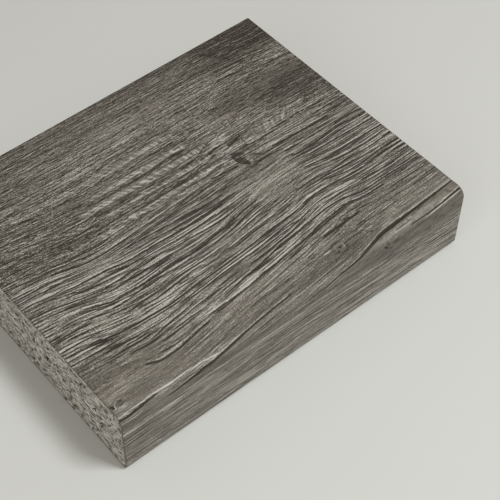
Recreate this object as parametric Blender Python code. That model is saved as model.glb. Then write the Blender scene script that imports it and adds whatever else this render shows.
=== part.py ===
"""Postformed laminate worktop, cut to a short length.

A chipboard core carries a decor laminate that is bonded to its top, bent round the front edge
and turned under it. The laminate's return ends in a shallow rebate, flush with the backing
sheet that covers the rest of the underside. Both ends and the back edge are plain saw cuts.

Metres, +Z up. X runs along the worktop and its grain, from the near end to the far end. Y runs
from the front edge to the back. The origin is under the middle of the board, on its underside.
"""

import math

import bpy

# Overall sizes of the cut length.
LENGTH = 0.195
DEPTH = 0.154
THICKNESS = 0.038

# The bent front edge, measured on the outside of the laminate.
TOP_RADIUS = 0.005
BOTTOM_RADIUS = 0.003
RETURN_DEPTH = 0.022

# Sheet thicknesses, and the adhesive line that bonds each sheet to the core.
LAMINATE = 0.0008
BACKING = 0.0006
GLUE_LINE = 0.0001
SEAM_GAP = 0.0004

# Straight pieces that stand for each quarter turn of the bend.
BEND_STEPS = 12

WORKTOP = "postformed_worktop"


def clear_scene():
    """Removes whatever the scene already holds."""
    for old in list(bpy.data.objects):
        bpy.data.objects.remove(old)


def make_material(name, colour, roughness, specular):
    """A Principled BSDF material with one plain finish."""
    material = bpy.data.materials.new(name)
    material.use_nodes = True
    shader = material.node_tree.nodes["Principled BSDF"]
    shader.inputs["Base Color"].default_value = (*colour, 1.0)
    shader.inputs["Roughness"].default_value = roughness
    shader.inputs["Metallic"].default_value = 0.0
    shader.inputs["Specular IOR Level"].default_value = specular
    material.diffuse_color = (*colour, 1.0)
    return material


def quarter_turn(centre, radius, start):
    """Points of a quarter circle, anticlockwise from the start angle in degrees."""
    steps = [math.radians(start + 90 * i / BEND_STEPS) for i in range(BEND_STEPS + 1)]
    return [(centre[0] + radius * math.cos(a), centre[1] + radius * math.sin(a)) for a in steps]


def wrapped_face(inset):
    """The section's path from the top of the back, over the front edge, to the return's end.

    It lies the inset below the laminate's outer face, and both bends stay concentric.
    """
    front = -DEPTH / 2
    top_bend = (front + TOP_RADIUS, THICKNESS - TOP_RADIUS)
    bottom_bend = (front + BOTTOM_RADIUS, BOTTOM_RADIUS)
    return [
        (DEPTH / 2, THICKNESS - inset),
        *quarter_turn(top_bend, TOP_RADIUS - inset, 90),
        *quarter_turn(bottom_bend, BOTTOM_RADIUS - inset, 180),
        (front + RETURN_DEPTH, inset),
    ]


def laminate_section():
    """The bent sheet: its outer face, then its bonded face back to the start."""
    return wrapped_face(0.0) + wrapped_face(LAMINATE)[::-1]


def core_section():
    """The core follows the laminate, and steps down past the rebate to meet the backing."""
    rebate_end = -DEPTH / 2 + RETURN_DEPTH + SEAM_GAP / 2
    under_laminate = LAMINATE + GLUE_LINE
    over_backing = BACKING + GLUE_LINE
    bonded = wrapped_face(under_laminate)
    return bonded[:-1] + [
        (rebate_end, under_laminate),
        (rebate_end, over_backing),
        (DEPTH / 2, over_backing),
    ]


def backing_section():
    """The flat sheet from the seam behind the return to the back edge."""
    seam = -DEPTH / 2 + RETURN_DEPTH + SEAM_GAP
    return [(seam, 0.0), (DEPTH / 2, 0.0), (DEPTH / 2, BACKING), (seam, BACKING)]


def extrude_section(name, section, material, collection, parent):
    """One piece of the board: its section, as a filled outline, run along the whole length."""
    outline = bpy.data.curves.new(name, "CURVE")
    outline.dimensions = "2D"
    outline.fill_mode = "BOTH"
    outline.extrude = LENGTH / 2
    spline = outline.splines.new("POLY")
    spline.points.add(len(section) - 1)
    for point, (across, up) in zip(spline.points, section):
        point.co = (across, up, 0.0, 1.0)
    spline.use_cyclic_u = True
    outline.materials.append(material)
    piece = bpy.data.objects.new(name, outline)
    # Stands the drawn section upright, so that its extrusion runs along X.
    piece.rotation_euler = (math.pi / 2, 0.0, math.pi / 2)
    piece.parent = parent
    collection.objects.link(piece)
    return piece


def build_worktop():
    """Makes the three bonded pieces under one empty."""
    clear_scene()
    collection = bpy.data.collections.new(WORKTOP)
    bpy.context.scene.collection.children.link(collection)
    board = bpy.data.objects.new(WORKTOP, None)
    collection.objects.link(board)

    chipboard = make_material("chipboard", (0.330, 0.295, 0.240), 0.90, 0.2)
    decor = make_material("grey_oak_laminate", (0.165, 0.145, 0.118), 0.50, 0.5)
    backer = make_material("brown_backing_paper", (0.120, 0.085, 0.055), 0.75, 0.3)

    extrude_section("chipboard_core", core_section(), chipboard, collection, board)
    extrude_section("decor_laminate", laminate_section(), decor, collection, board)
    extrude_section("backing_sheet", backing_section(), backer, collection, board)


build_worktop()
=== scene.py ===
"""Looks of the postformed laminate worktop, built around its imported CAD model.

The decor laminate is embossed flat, as a press plate would do it, and then bent round the front
edge. Its print follows the same grain as the embossing. The chipboard core gets torn, pitted saw
cuts at both ends and along the back. The backing sheet keeps its CAD shape and gets a finish.
"""

import math

import bmesh
import bpy
import numpy as np
from bpy.props import FloatProperty, FloatVectorProperty, PointerProperty
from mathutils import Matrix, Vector


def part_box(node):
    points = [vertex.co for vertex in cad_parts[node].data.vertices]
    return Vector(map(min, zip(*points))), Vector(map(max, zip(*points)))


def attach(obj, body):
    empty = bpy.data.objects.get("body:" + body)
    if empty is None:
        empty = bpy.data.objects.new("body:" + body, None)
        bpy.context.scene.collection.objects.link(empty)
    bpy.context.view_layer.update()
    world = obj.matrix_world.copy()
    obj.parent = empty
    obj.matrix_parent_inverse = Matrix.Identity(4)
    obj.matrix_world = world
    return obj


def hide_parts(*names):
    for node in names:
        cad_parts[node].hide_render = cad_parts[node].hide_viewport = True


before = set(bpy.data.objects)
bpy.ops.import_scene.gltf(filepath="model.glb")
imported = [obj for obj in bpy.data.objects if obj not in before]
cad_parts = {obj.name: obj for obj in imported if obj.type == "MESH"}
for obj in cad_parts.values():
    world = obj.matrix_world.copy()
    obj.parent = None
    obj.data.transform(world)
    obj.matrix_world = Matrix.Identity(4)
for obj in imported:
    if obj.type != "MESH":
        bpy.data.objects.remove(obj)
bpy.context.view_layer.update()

bl_info = {
    "name": "Postformed worktop looks",
    "version": (1, 0, 0),
    "blender": (4, 5, 0),
    "location": "3D View > Sidebar > Worktop",
    "description": "Embossed laminate, chipboard core, backing sheet and a pale studio",
    "category": "Object",
}

MM = 0.001

# The CAD boxes give the board's size; the bends and sheet thicknesses repeat the source's values.
LAMINATE_LOW, LAMINATE_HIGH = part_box("decor_laminate")
CORE_LOW, CORE_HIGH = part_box("chipboard_core")
NEAR_END = LAMINATE_LOW.x
FAR_END = LAMINATE_HIGH.x
FRONT = LAMINATE_LOW.y
BACK = LAMINATE_HIGH.y
UNDERSIDE = LAMINATE_LOW.z
TOP = LAMINATE_HIGH.z
LENGTH = FAR_END - NEAR_END
TOP_RADIUS = 5.0 * MM
BOTTOM_RADIUS = 3.0 * MM
RETURN_DEPTH = 22.0 * MM
LAMINATE = 0.8 * MM
SEAM_GAP = 0.4 * MM
CORE_INSET = CORE_LOW.y - FRONT
CORE_UNDERSIDE = CORE_LOW.z

# Distances over the sheet, measured from where the top's plane would meet the front's plane.
# They run back over the top, and turn negative down the front face and under the board.
TOP_BEND_END = TOP_RADIUS - TOP_RADIUS * math.pi / 2
BOTTOM_BEND_START = TOP_BEND_END - (TOP - UNDERSIDE - TOP_RADIUS - BOTTOM_RADIUS)
BOTTOM_BEND_END = BOTTOM_BEND_START - BOTTOM_RADIUS * math.pi / 2
RETURN_END = BOTTOM_BEND_END - (RETURN_DEPTH - BOTTOM_RADIUS)
SHEET_BACK = BACK - FRONT

# Mesh columns along the grain, and rows over the sheet as (distance in mm, rows up to it).
GRAIN_COLUMNS = 250
SHEET_ROWS = [(-37.6, 8), (-32.9, 7), (-2.9, 42), (5.0, 20), (84.0, 186), (122.0, 84), (154.0, 40)]

# The grain map is in units of this many mm, and its second coordinate starts here.
GRAIN_UNIT = 100.0
GRAIN_START = 0.6

SEED = 4021


def smooth_step(low, high, value):
    """Rises smoothly from 0 to 1 as the value goes from low to high."""
    share = np.clip((value - low) / (high - low), 0.0, 1.0)
    return share * share * (3.0 - 2.0 * share)


def patch(along, across, centre, half, soft=0.5):
    """An oval patch, 1 in its middle and fading out over the outer share of its radius."""
    reach = np.hypot((along - centre[0]) / half[0], (across - centre[1]) / half[1])
    return 1.0 - smooth_step(1.0 - soft, 1.0 + soft, reach)


def smooth_course(points, along):
    """The across place of a line through the points, smooth along the grain."""
    places = np.array([p[0] for p in points], float)
    heights = np.array([p[1] for p in points], float)
    slopes = np.gradient(heights, places) if len(points) > 2 else np.full(
        2, (heights[1] - heights[0]) / (places[1] - places[0]))
    inside = np.clip(along, places[0], places[-1])
    k = np.clip(np.searchsorted(places, inside) - 1, 0, len(places) - 2)
    step = places[k + 1] - places[k]
    t = (inside - places[k]) / step
    return (
        (2 * t**3 - 3 * t**2 + 1) * heights[k]
        + (t**3 - 2 * t**2 + t) * step * slopes[k]
        + (3 * t**2 - 2 * t**3) * heights[k + 1]
        + (t**3 - t**2) * step * slopes[k + 1]
    )


class Mottle:
    """Seeded smooth noise from -1 to 1, on a lattice with one cell per unit."""

    SIZE = 256

    def __init__(self, seed):
        self.values = np.random.default_rng(seed).uniform(-1.0, 1.0, (self.SIZE, self.SIZE))

    def __call__(self, a, b):
        a, b = np.broadcast_arrays(a, b)
        i = np.floor(a).astype(int)
        j = np.floor(b).astype(int)
        f = a - i
        g = b - j
        f = f * f * (3.0 - 2.0 * f)
        g = g * g * (3.0 - 2.0 * g)
        i0, i1 = i % self.SIZE, (i + 1) % self.SIZE
        j0, j1 = j % self.SIZE, (j + 1) % self.SIZE
        v = self.values
        near = v[i0, j0] * (1 - g) + v[i0, j1] * g
        far = v[i1, j0] * (1 - g) + v[i1, j1] * g
        return near * (1 - f) + far * f


# The lines that the grain follows over the whole sheet, each as (along, across) in mm. Along is
# from the near end, across is the distance over the sheet.
GRAIN_LINES = [
    [(0, -57), (195, -57)],
    [(0, -33), (195, -33.5)],
    [(0, -24.5), (50, -25), (98, -25.6), (130, -26.6), (160, -28.6), (195, -30)],
    [(0, -14.8), (30, -14.2), (60, -13.9), (98, -14.7), (130, -16.7), (160, -19), (195, -21)],
    [(0, -6), (30, -6.2), (60, -6.4), (98, -6.8), (130, -8.4), (160, -9.5), (195, -10.5)],
    [(0, -3), (30, -3.5), (60, -3.3), (80, -2.9), (101, -1.9), (120, 0.4), (135, 2.4), (150, 5.7),
     (170, 7), (195, 8.6)],
    [(0, 0.8), (20, 0), (40, 0), (60, 1.9), (80, 4.4), (98, 6.2), (130, 8.5), (150, 10.2),
     (195, 12)],
    [(0, 15.5), (20, 15), (30, 13.9), (40, 14.2), (50, 15.6), (60, 17), (70, 18.4), (80, 20),
     (98, 22.2), (110, 23.8), (130, 26.7), (141, 28), (149, 28.2), (160, 26.8), (170, 26.4),
     (195, 26)],
    [(0, 39.5), (10, 38.6), (20, 37.1), (30, 35.5), (42, 34.7), (50, 34.4), (60, 35), (80, 36),
     (98, 37.4), (110, 38.3), (127, 39.8), (139, 41.9), (148, 41.9), (160, 41), (170, 40.7),
     (195, 41.5)],
    [(0, 58.5), (10, 57.5), (20, 55.8), (29, 53.2), (36, 51.6), (48, 50.5), (65, 51.2), (80, 50.9),
     (98, 52.5), (110, 55), (120, 56.3), (147, 57.3), (160, 55.6), (195, 55)],
    [(0, 72), (10, 71), (20, 69), (30, 67.5), (42, 66.5), (50, 65), (60, 64.6), (80, 64.2),
     (98, 64.3), (115, 65.5), (130, 66), (147, 67), (160, 66.2), (180, 67), (195, 66.3)],
    [(0, 81.5), (10, 80.8), (20, 79.6), (30, 77.3), (42, 75.3), (61, 75.9), (80, 76.5), (98, 77),
     (125, 77.8), (140, 77.3), (159, 76.6), (181, 75.6), (195, 75.2)],
    [(0, 103.5), (20, 101.5), (40, 99.7), (60, 98.5), (98, 97.7), (150, 98), (195, 96)],
    [(0, 119), (20, 116.7), (39, 113.8), (56, 113), (98, 113), (130, 113), (160, 112.5),
     (195, 110)],
    [(0, 136), (40, 135), (62, 134.5), (98, 134), (135, 133.5), (165, 133), (195, 129.5)],
    [(0, 158), (195, 158)],
]
# Each grain line is named by its own place across the sheet here, in mm along the grain.
GRAIN_REFERENCE = 98.0

# Main grooves of the embossing: depth as a share of the deepest, half width in mm, course.
GROOVES = [
    (0.7, 0.55, [(0, 78.2), (7, 77.2), (16, 77), (22, 75.7), (30, 74)]),
    (0.8, 0.6, [(18, 79.8), (25, 79), (30, 77.3), (35, 75.9), (42, 75.2), (55, 75.5), (64, 76)]),
    (0.8, 0.6, [(10, 73.3), (14, 74), (20, 73.5), (25, 73.1), (30, 70.8)]),
    (0.7, 0.5, [(0, 71.8), (5, 71.8), (10, 70.9), (16, 70.1), (24, 70)]),
    (0.9, 0.5, [(52, 71.6), (60, 71), (70, 70.5), (80, 69.6), (96, 69.3)]),
    (1.0, 0.6, [(18, 69.3), (25, 68), (35, 67.2), (42, 66.5), (50, 65), (60, 64.6), (80, 64.2),
                (108, 64.3)]),
    (0.9, 0.5, [(20, 66.6), (24, 64.9), (29, 62.2)]),
    (0.9, 0.55, [(38, 65.6), (46, 64.2), (50, 62.9), (60, 61.6), (70, 60.9), (94, 61),
                 (112, 62)]),
    (0.9, 0.6, [(30, 59), (42, 59), (58, 59), (66, 59), (70, 58), (80, 57.7), (98, 57),
                (110, 58.4), (118, 59.3)]),
    (0.7, 0.5, [(32, 56.4), (44, 56.4), (50, 57.1), (58, 56.1), (66, 56.1), (76, 55.7)]),
    (0.9, 0.65, [(18, 56.2), (25, 54.4), (32, 51.5), (42, 51), (48, 50.5), (55, 50.8), (65, 51.5),
                 (74, 50.5), (80, 50.8), (90, 52), (98, 52.8), (110, 55.2), (121, 56.4)]),
    (0.8, 0.6, [(28, 48.2), (42, 47.9), (50, 49.1), (61, 48.6), (70, 48.2), (77, 49)]),
    (0.6, 0.5, [(8, 50.3), (16, 49.1), (22, 49.4)]),
    (0.7, 0.55, [(31, 43), (36, 42.6), (41, 42.4), (45, 41.3)]),
    (0.6, 0.5, [(52, 41.4), (65, 41.7), (70, 42.5), (78, 42.3)]),
    (0.6, 0.5, [(80, 40.7), (84, 41.7), (90, 42.4), (98, 43), (110, 43.9), (122, 44.8)]),
    (1.0, 0.6, [(8, 38.7), (16, 38.4), (20, 37.1), (30, 35.5), (42, 34.7), (50, 34.3), (60, 35),
                (80, 36), (94, 37), (110, 38.3), (120, 39.2), (130, 39.8)]),
    (0.7, 0.5, [(58, 31.6), (70, 31.9), (80, 32.9), (98, 33.9), (110, 34.7), (118, 35.3),
                (129, 34.4)]),
    (0.6, 0.5, [(20, 28.3), (25, 29), (30, 28.6), (38, 29.4)]),
    (0.7, 0.5, [(20, 25), (27, 25.4), (32, 24.7), (42, 26.3), (50, 27.8)]),
    (0.8, 0.5, [(76, 24.2), (88, 25.6), (98, 27), (110, 29.4), (120, 30.4), (130, 31.3),
                (150, 31.7), (154, 30.4), (170, 29.7), (194, 29.1)]),
    (0.7, 0.5, [(90, 28.6), (98, 29.9), (110, 30.8), (116, 31.4), (124, 33), (132, 34.1)]),
    (1.0, 0.65, [(58, 19.2), (70, 19.6), (80, 20.1), (90, 21.3), (100, 22.5), (110, 23.8),
                 (120, 25), (130, 26.8), (140, 28), (149, 28.3), (155, 27.3), (172, 26.4)]),
    (0.6, 0.45, [(60, 18.2), (70, 18.7), (78, 19.7)]),
    (0.6, 0.45, [(42, 22.7), (50, 23.3), (60, 23.7), (74, 24.4)]),
    (0.6, 0.5, [(20, 23.7), (25, 24.4), (30, 23.4), (38, 23.9), (44, 25)]),
    (0.8, 0.7, [(22, 17), (26, 15.6), (30, 14.2), (36, 13.9), (42, 14.2), (48, 15.2), (56, 16.4),
                (62, 17.2)]),
    (0.6, 0.5, [(30, 17.2), (36, 16.9), (44, 16.4), (52, 17.6)]),
    (0.7, 0.9, [(124, 20.2), (131, 20.7), (142, 21.1), (152, 21.8)]),
    (0.5, 0.4, [(108, 17.2), (114, 17.6), (120, 18.3)]),
    (0.5, 0.4, [(110, 15.4), (115, 16), (120, 16.9)]),
    (0.6, 0.4, [(140, 15.9), (149, 16.6), (158, 17.5)]),
    (0.6, 0.4, [(150, 14.3), (160, 15.1), (170, 16.2)]),
    (0.6, 0.5, [(98, 82.3), (110, 81.9), (118, 81.9), (125.5, 81.2)]),
    (0.8, 0.6, [(143, 77.3), (150, 77), (159, 76.6), (170, 76.3), (182, 75.6)]),
    (0.8, 0.9, [(146, 70.8), (150, 71), (159, 70.7)]),
    (0.7, 0.5, [(175, 69.7), (184, 70), (194.5, 69.4)]),
    (1.0, 0.7, [(146, 67.2), (150, 66.5), (159, 66.1), (170, 66.8), (180, 67.1), (188, 66.5),
                (195, 66.3)]),
    (0.9, 0.5, [(151, 62.8), (159, 62.2), (170, 61.9), (180, 61.5), (195, 60.9)]),
    (0.6, 0.5, [(149, 62), (153, 60.9), (161, 60.2)]),
    (0.9, 0.6, [(146, 57.5), (150, 57), (155, 56.3), (160, 55.5), (180, 55.6), (195, 55)]),
    (0.8, 0.5, [(158, 53.2), (165, 52), (170, 51.7), (180, 51), (195, 51.8)]),
    (0.9, 0.6, [(133, 49.1), (148, 49.1), (153, 48.4), (170, 48.8), (180, 48.1), (195, 49.1)]),
    (0.9, 0.6, [(149, 45), (155, 44.5), (161, 43.2), (170, 42.9), (188, 43.8), (195, 43.5)]),
    (0.9, 0.6, [(130, 40.6), (139, 41.9), (148, 41.9), (155, 41.2), (170, 40.6), (184, 41.5),
                (195, 41.5)]),
    (0.8, 0.5, [(158, 37.7), (170, 37), (180, 37), (195, 37)]),
    (0.7, 0.5, [(138, 35.3), (150, 35.3), (159, 34.7), (170, 35), (181, 34), (188, 35.5)]),
    (0.5, 0.5, [(0, 85.2), (3, 84.5), (10, 83.5), (18, 82.5)]),
    (0.6, 0.5, [(30, 87.1), (35, 86.1), (40, 85.7)]),
    (0.5, 0.5, [(50, 86.1), (56, 84.6)]),
    (0.6, 0.6, [(21, 120.5), (28, 120.4), (34, 120.6)]),
    (0.6, 0.8, [(22, 113.6), (30, 112.6), (36, 110.9)]),
    (0.5, 0.6, [(11, 106.7), (17, 107), (21, 105.9)]),
    (0.5, 0.5, [(36, 144.3), (42, 143.6), (49, 142.6)]),
    (0.5, 0.5, [(34, 140), (41, 140.2)]),
    (0.7, 0.7, [(149, 127.3), (159, 127.9), (165, 127), (169, 126.6)]),
    (0.6, 0.7, [(175, 123), (181, 122.3), (188, 121.7), (195, 121.3)]),
    (0.7, 0.8, [(120, 93.2), (124, 93.5), (129, 92.8)]),
    (0.5, 0.6, [(130, 91.4), (136, 92.1)]),
    (0.5, 0.7, [(0, -14.8), (10, -14.5), (16, -14.2), (30, -14.2), (36, -13.4)]),
    (0.5, 0.6, [(42, -6.5), (49, -6.7)]),
    (0.4, 0.6, [(12, -7.3), (24, -6.7)]),
    (0.5, 0.7, [(68, -13.8), (80, -14.5), (92, -14.5)]),
    (0.4, 0.7, [(96, -14.7), (110, -15.4), (130, -16.7), (143, -17.4)]),
    (0.4, 0.6, [(28, -27.5), (38, -27.8), (50, -28.3)]),
    (0.4, 0.6, [(44, -11.5), (52, -11.2)]),
    (0.4, 0.6, [(118, -24.4), (130, -24.9), (142, -25.6)]),
    (0.6, 0.4, [(50, 96.0), (60, 96.6), (72, 96.4), (80, 96.0), (86, 95.4)]),
    (0.6, 0.7, [(83, 95.3), (88, 94.8), (95, 94.8)]),
    (0.5, 0.4, [(96, 95.5), (101, 95.4), (107, 95.7)]),
    (0.6, 0.4, [(101, 94.0), (104, 93.2), (108, 93.6)]),
    (0.5, 0.4, [(48, 98.6), (56, 98.0), (62, 98.4), (66, 97.0)]),
    (0.6, 0.45, [(50, 101.6), (58, 102.0), (63, 101.4)]),
    (0.5, 0.4, [(68, 101.7), (74, 102.1), (82, 102.1)]),
    (0.8, 1.0, [(102, 102.4), (108, 102.1), (115, 101.8)]),
    (0.6, 0.35, [(98, 99.2), (106, 99.6), (112, 99.4), (118, 99.8), (125, 99.2)]),
    (0.7, 0.4, [(62, 110.2), (68, 110.6), (75, 111.4)]),
    (0.6, 0.4, [(55, 111.4), (58, 111.3), (62, 112.2)]),
    (0.6, 0.45, [(50, 109.6), (56, 109.5), (61, 108.8)]),
    (0.6, 0.4, [(59, 107.9), (66, 107.6), (72, 107.6)]),
    (0.6, 0.45, [(73, 108.1), (77, 107.5), (82, 108.1)]),
    (0.7, 0.5, [(82, 108.3), (86, 108.4), (91, 108.0)]),
    (0.5, 0.4, [(95, 108.9), (101, 108.5), (105, 108.1)]),
    (0.7, 0.5, [(105, 109.1), (108, 109.4), (113, 109.2)]),
    (0.6, 0.4, [(79, 106.5), (83, 106.4)]),
    (0.5, 0.4, [(89, 111.3), (95, 111.5)]),
    (0.6, 0.4, [(114, 106.8), (119, 107.1)]),
    (0.6, 0.4, [(116, 110.6), (122, 111.8)]),
    (0.5, 0.4, [(122, 107.6), (130, 108.8)]),
    (0.5, 0.4, [(113, 112.0), (118, 113.6)]),
    (0.6, 0.4, [(55, 118.7), (59, 118.5), (63, 118.3)]),
    (0.6, 0.45, [(65, 117.2), (70, 115.6)]),
    (0.7, 0.45, [(70, 115.6), (72, 116.8), (76, 117.2)]),
    (0.5, 0.4, [(77, 119.2), (83, 119.5)]),
    (0.6, 0.45, [(88, 117.2), (91.5, 117.4), (93.5, 115.8)]),
    (0.6, 0.4, [(91, 119.6), (99, 119.3)]),
    (0.6, 0.4, [(105, 117.6), (110, 118.0)]),
    (0.5, 0.4, [(113, 118.4), (119, 118.2)]),
    (0.6, 0.45, [(54, 83.8), (59, 84.2), (65, 83.9)]),
    (0.6, 0.45, [(74, 83.2), (80, 83.5), (88, 83.2)]),
    (0.5, 0.4, [(92, 89.4), (98, 89.0)]),
    (0.6, 0.4, [(106, 89.0), (112, 89.5), (117, 88.6)]),
    (0.6, 0.4, [(106, 87.6), (110, 86.8)]),
    (0.5, 0.4, [(75, 90.4), (79, 89.8)]),
    (0.6, 0.7, [(111, 86.0), (117, 85.8)]),
    (0.6, 0.5, [(126, 85.6), (132, 85.4), (137, 85.6)]),
    (0.6, 0.45, [(128, 100.3), (134, 100.1)]),
    (0.6, 0.4, [(130, 98.8), (136, 98.9)]),
    (0.6, 0.5, [(169, 105.8), (174, 106.4), (178, 105.8)]),
    (0.4, 0.4, [(168, 99.2), (176, 99.4)]),
    (0.4, 0.4, [(182, 98.2), (188, 98.7), (194, 99.2)]),
    (0.5, 0.5, [(178, 96.6), (184, 96.4)]),
    (0.5, 0.5, [(184, 84.3), (190, 83.8), (195, 84.4)]),
    (0.5, 0.6, [(153, 101.6), (157, 101.4)]),
    (0.5, 0.5, [(158, 100.8), (160, 100.3)]),
    (0.5, 0.5, [(141, 85.0), (150, 84.4), (158, 84.6)]),
]

# Soft light and dark rows: tone change, half width in mm, course.
BANDS = [
    (15, 1.5, [(36, 114.6), (60, 113.9), (92, 113.5), (114, 113.0)]),
    (14, 1.3, [(54, 104.5), (75, 104.2), (95, 103.9), (116, 104.0)]),
    (18, 1.4, [(46, 98.8), (64, 97.8), (82, 97.4), (96, 97.1), (120, 97.2)]),
    (15, 1.1, [(52, 91.9), (76, 91.4), (96, 91.0), (126, 90.8)]),
    (14, 0.9, [(48, 85.5), (60, 85.0), (76, 84.4), (92, 84.1), (120, 84.0)]),
    (10, 1.2, [(48, 120.6), (75, 120.2), (94, 119.8)]),
    (-15, 1.4, [(46, 94.4), (70, 94.4), (96, 94.2), (120, 93.4)]),
    (-17, 1.2, [(48, 101.7), (75, 101.4), (100, 101.6), (120, 101.6)]),
    (-11, 1.6, [(46, 109.0), (75, 108.7), (107, 108.2)]),
    (-8, 1.4, [(50, 88.3), (76, 88.2), (102, 88.0)]),
    (-10, 1.0, [(48, 117.1), (80, 117.2), (112, 117.0)]),
]

# Raised, pale lines between the grooves, pale partly as print and partly as painted highlight on the
# grooves' lit far side: height share, half width in mm, course.
RIDGES = [
    (0.9, 0.55, [(0, 2.5), (10, 2.8), (20, 3.1), (30, 2.8), (38, 3), (45, 2.5), (54, 1.5)]),
    (0.5, 0.5, [(0, -0.8), (6, -1.1), (14, 0.1)]),
    (0.9, 0.4, [(51, 72.3), (60, 71.8), (70, 71.2), (80, 70.5)]),
    (0.9, 1.0, [(10, 75.3), (18, 75.2), (27, 74.4)]),
    (0.8, 0.8, [(0, 80), (10, 79.6), (20, 78.2), (28, 76.3)]),
    (0.8, 0.8, [(10, 72.2), (20, 72), (30, 69.9)]),
    (0.8, 0.8, [(19, 64.6), (27, 62.8)]),
    (0.6, 1.2, [(28, 38), (40, 37.4), (52, 36.8), (62, 36.6)]),
    (0.7, 0.8, [(30, 54.5), (42, 53.6), (52, 53.2)]),
    (0.7, 0.7, [(78, 62.6), (90, 62.3), (104, 63)]),
    (0.7, 0.8, [(78, 22.2), (90, 23.6), (100, 25)]),
    (0.7, 0.8, [(100, 28.8), (110, 27), (122, 28)]),
    (0.8, 0.6, [(30, 16.1), (38, 15.5), (50, 17)]),
    (0.7, 0.6, [(119, 83.5), (126, 83.6)]),
    (0.7, 0.6, [(119, 79.8), (126, 79.6)]),
    (0.5, 0.6, [(98, 83.6), (106, 83.3), (117, 84.1), (126, 83.2)]),
    (0.5, 0.6, [(98, 80.8), (110, 80.8), (120, 80)]),
    (0.7, 0.7, [(30, 84.8), (38, 83.9)]),
    (0.7, 0.9, [(20, 116.6), (30, 115), (40, 113.7)]),
    (0.5, 0.6, [(13, 108.5), (22, 108.4), (30, 107)]),
    (0.4, 0.5, [(30, 106.4), (39, 106), (50, 105.7)]),
    (0.5, 0.8, [(41, 135.2), (50, 135), (62, 134.5)]),
    (0.5, 0.7, [(178, 128), (188, 127.2), (195, 125.3)]),
    (0.5, 0.7, [(178, 124.8), (191, 123.3), (195, 123.4)]),
    (0.5, 0.7, [(171, 134), (176, 132.6), (180, 131)]),
    (0.2, 1.0, [(142, 2.4), (150, 2.9), (160, 3.4), (168, 4)]),
    (0.7, 0.5, [(168, -0.4), (182, 1), (195, 2)]),
    (0.5, 0.7, [(34, -5.7), (50, -5.4), (58, -6)]),
    (0.5, 1.0, [(0, -8.6), (30, -8.4), (60, -8.2), (90, -7.9), (98, -7.6)]),
    (0.5, 0.6, [(24, -24), (32, -23.9), (36.5, -23.6)]),
    (0.5, 0.7, [(78, -25.2), (98, -25.6), (122, -26.3), (135, -26.3), (146, -27.2), (160, -28.6)]),
    (0.7, 0.5, [(47, -28.7), (51, -28.2), (55, -28.7)]),
    (0.4, 0.8, [(66, -7), (98, -7.4), (120, -8)]),
]

# Long cracks along the front edge: course, then (along, half width in mm) where it changes.
CRACKS = [
    ([(98, -2.2), (110, -0.9), (120, 0.4), (130, 1.4), (135, 2.4), (140, 3.7), (145, 4.9),
      (150, 5.7), (155, 6), (160, 6.4), (170, 7), (181, 7.6), (195, 8.6)],
     [(98, 0.25), (125, 0.4), (142, 0.8), (156, 0.95), (172, 0.6), (195, 0.4)]),
    ([(22, -1.9), (30, -1.4), (37, -0.8), (44, -0.1), (50, 0.2), (55, 1), (60, 1.7), (67, 2.8),
      (80, 4.4), (98, 6.1)],
     [(22, 0.3), (40, 0.6), (56, 0.6), (66, 0.4), (98, 0.3)]),
    ([(0, 1.3), (5, 1), (10, 1.4), (16, 2.1), (22, 2.3)],
     [(0, 0.6), (12, 0.55), (22, 0.3)]),
    ([(170, 0.7), (175, 1.4), (181, 1.7), (188, 2.4), (195, 2.9)],
     [(170, 0.3), (184, 0.35), (195, 0.45)]),
]

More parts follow.
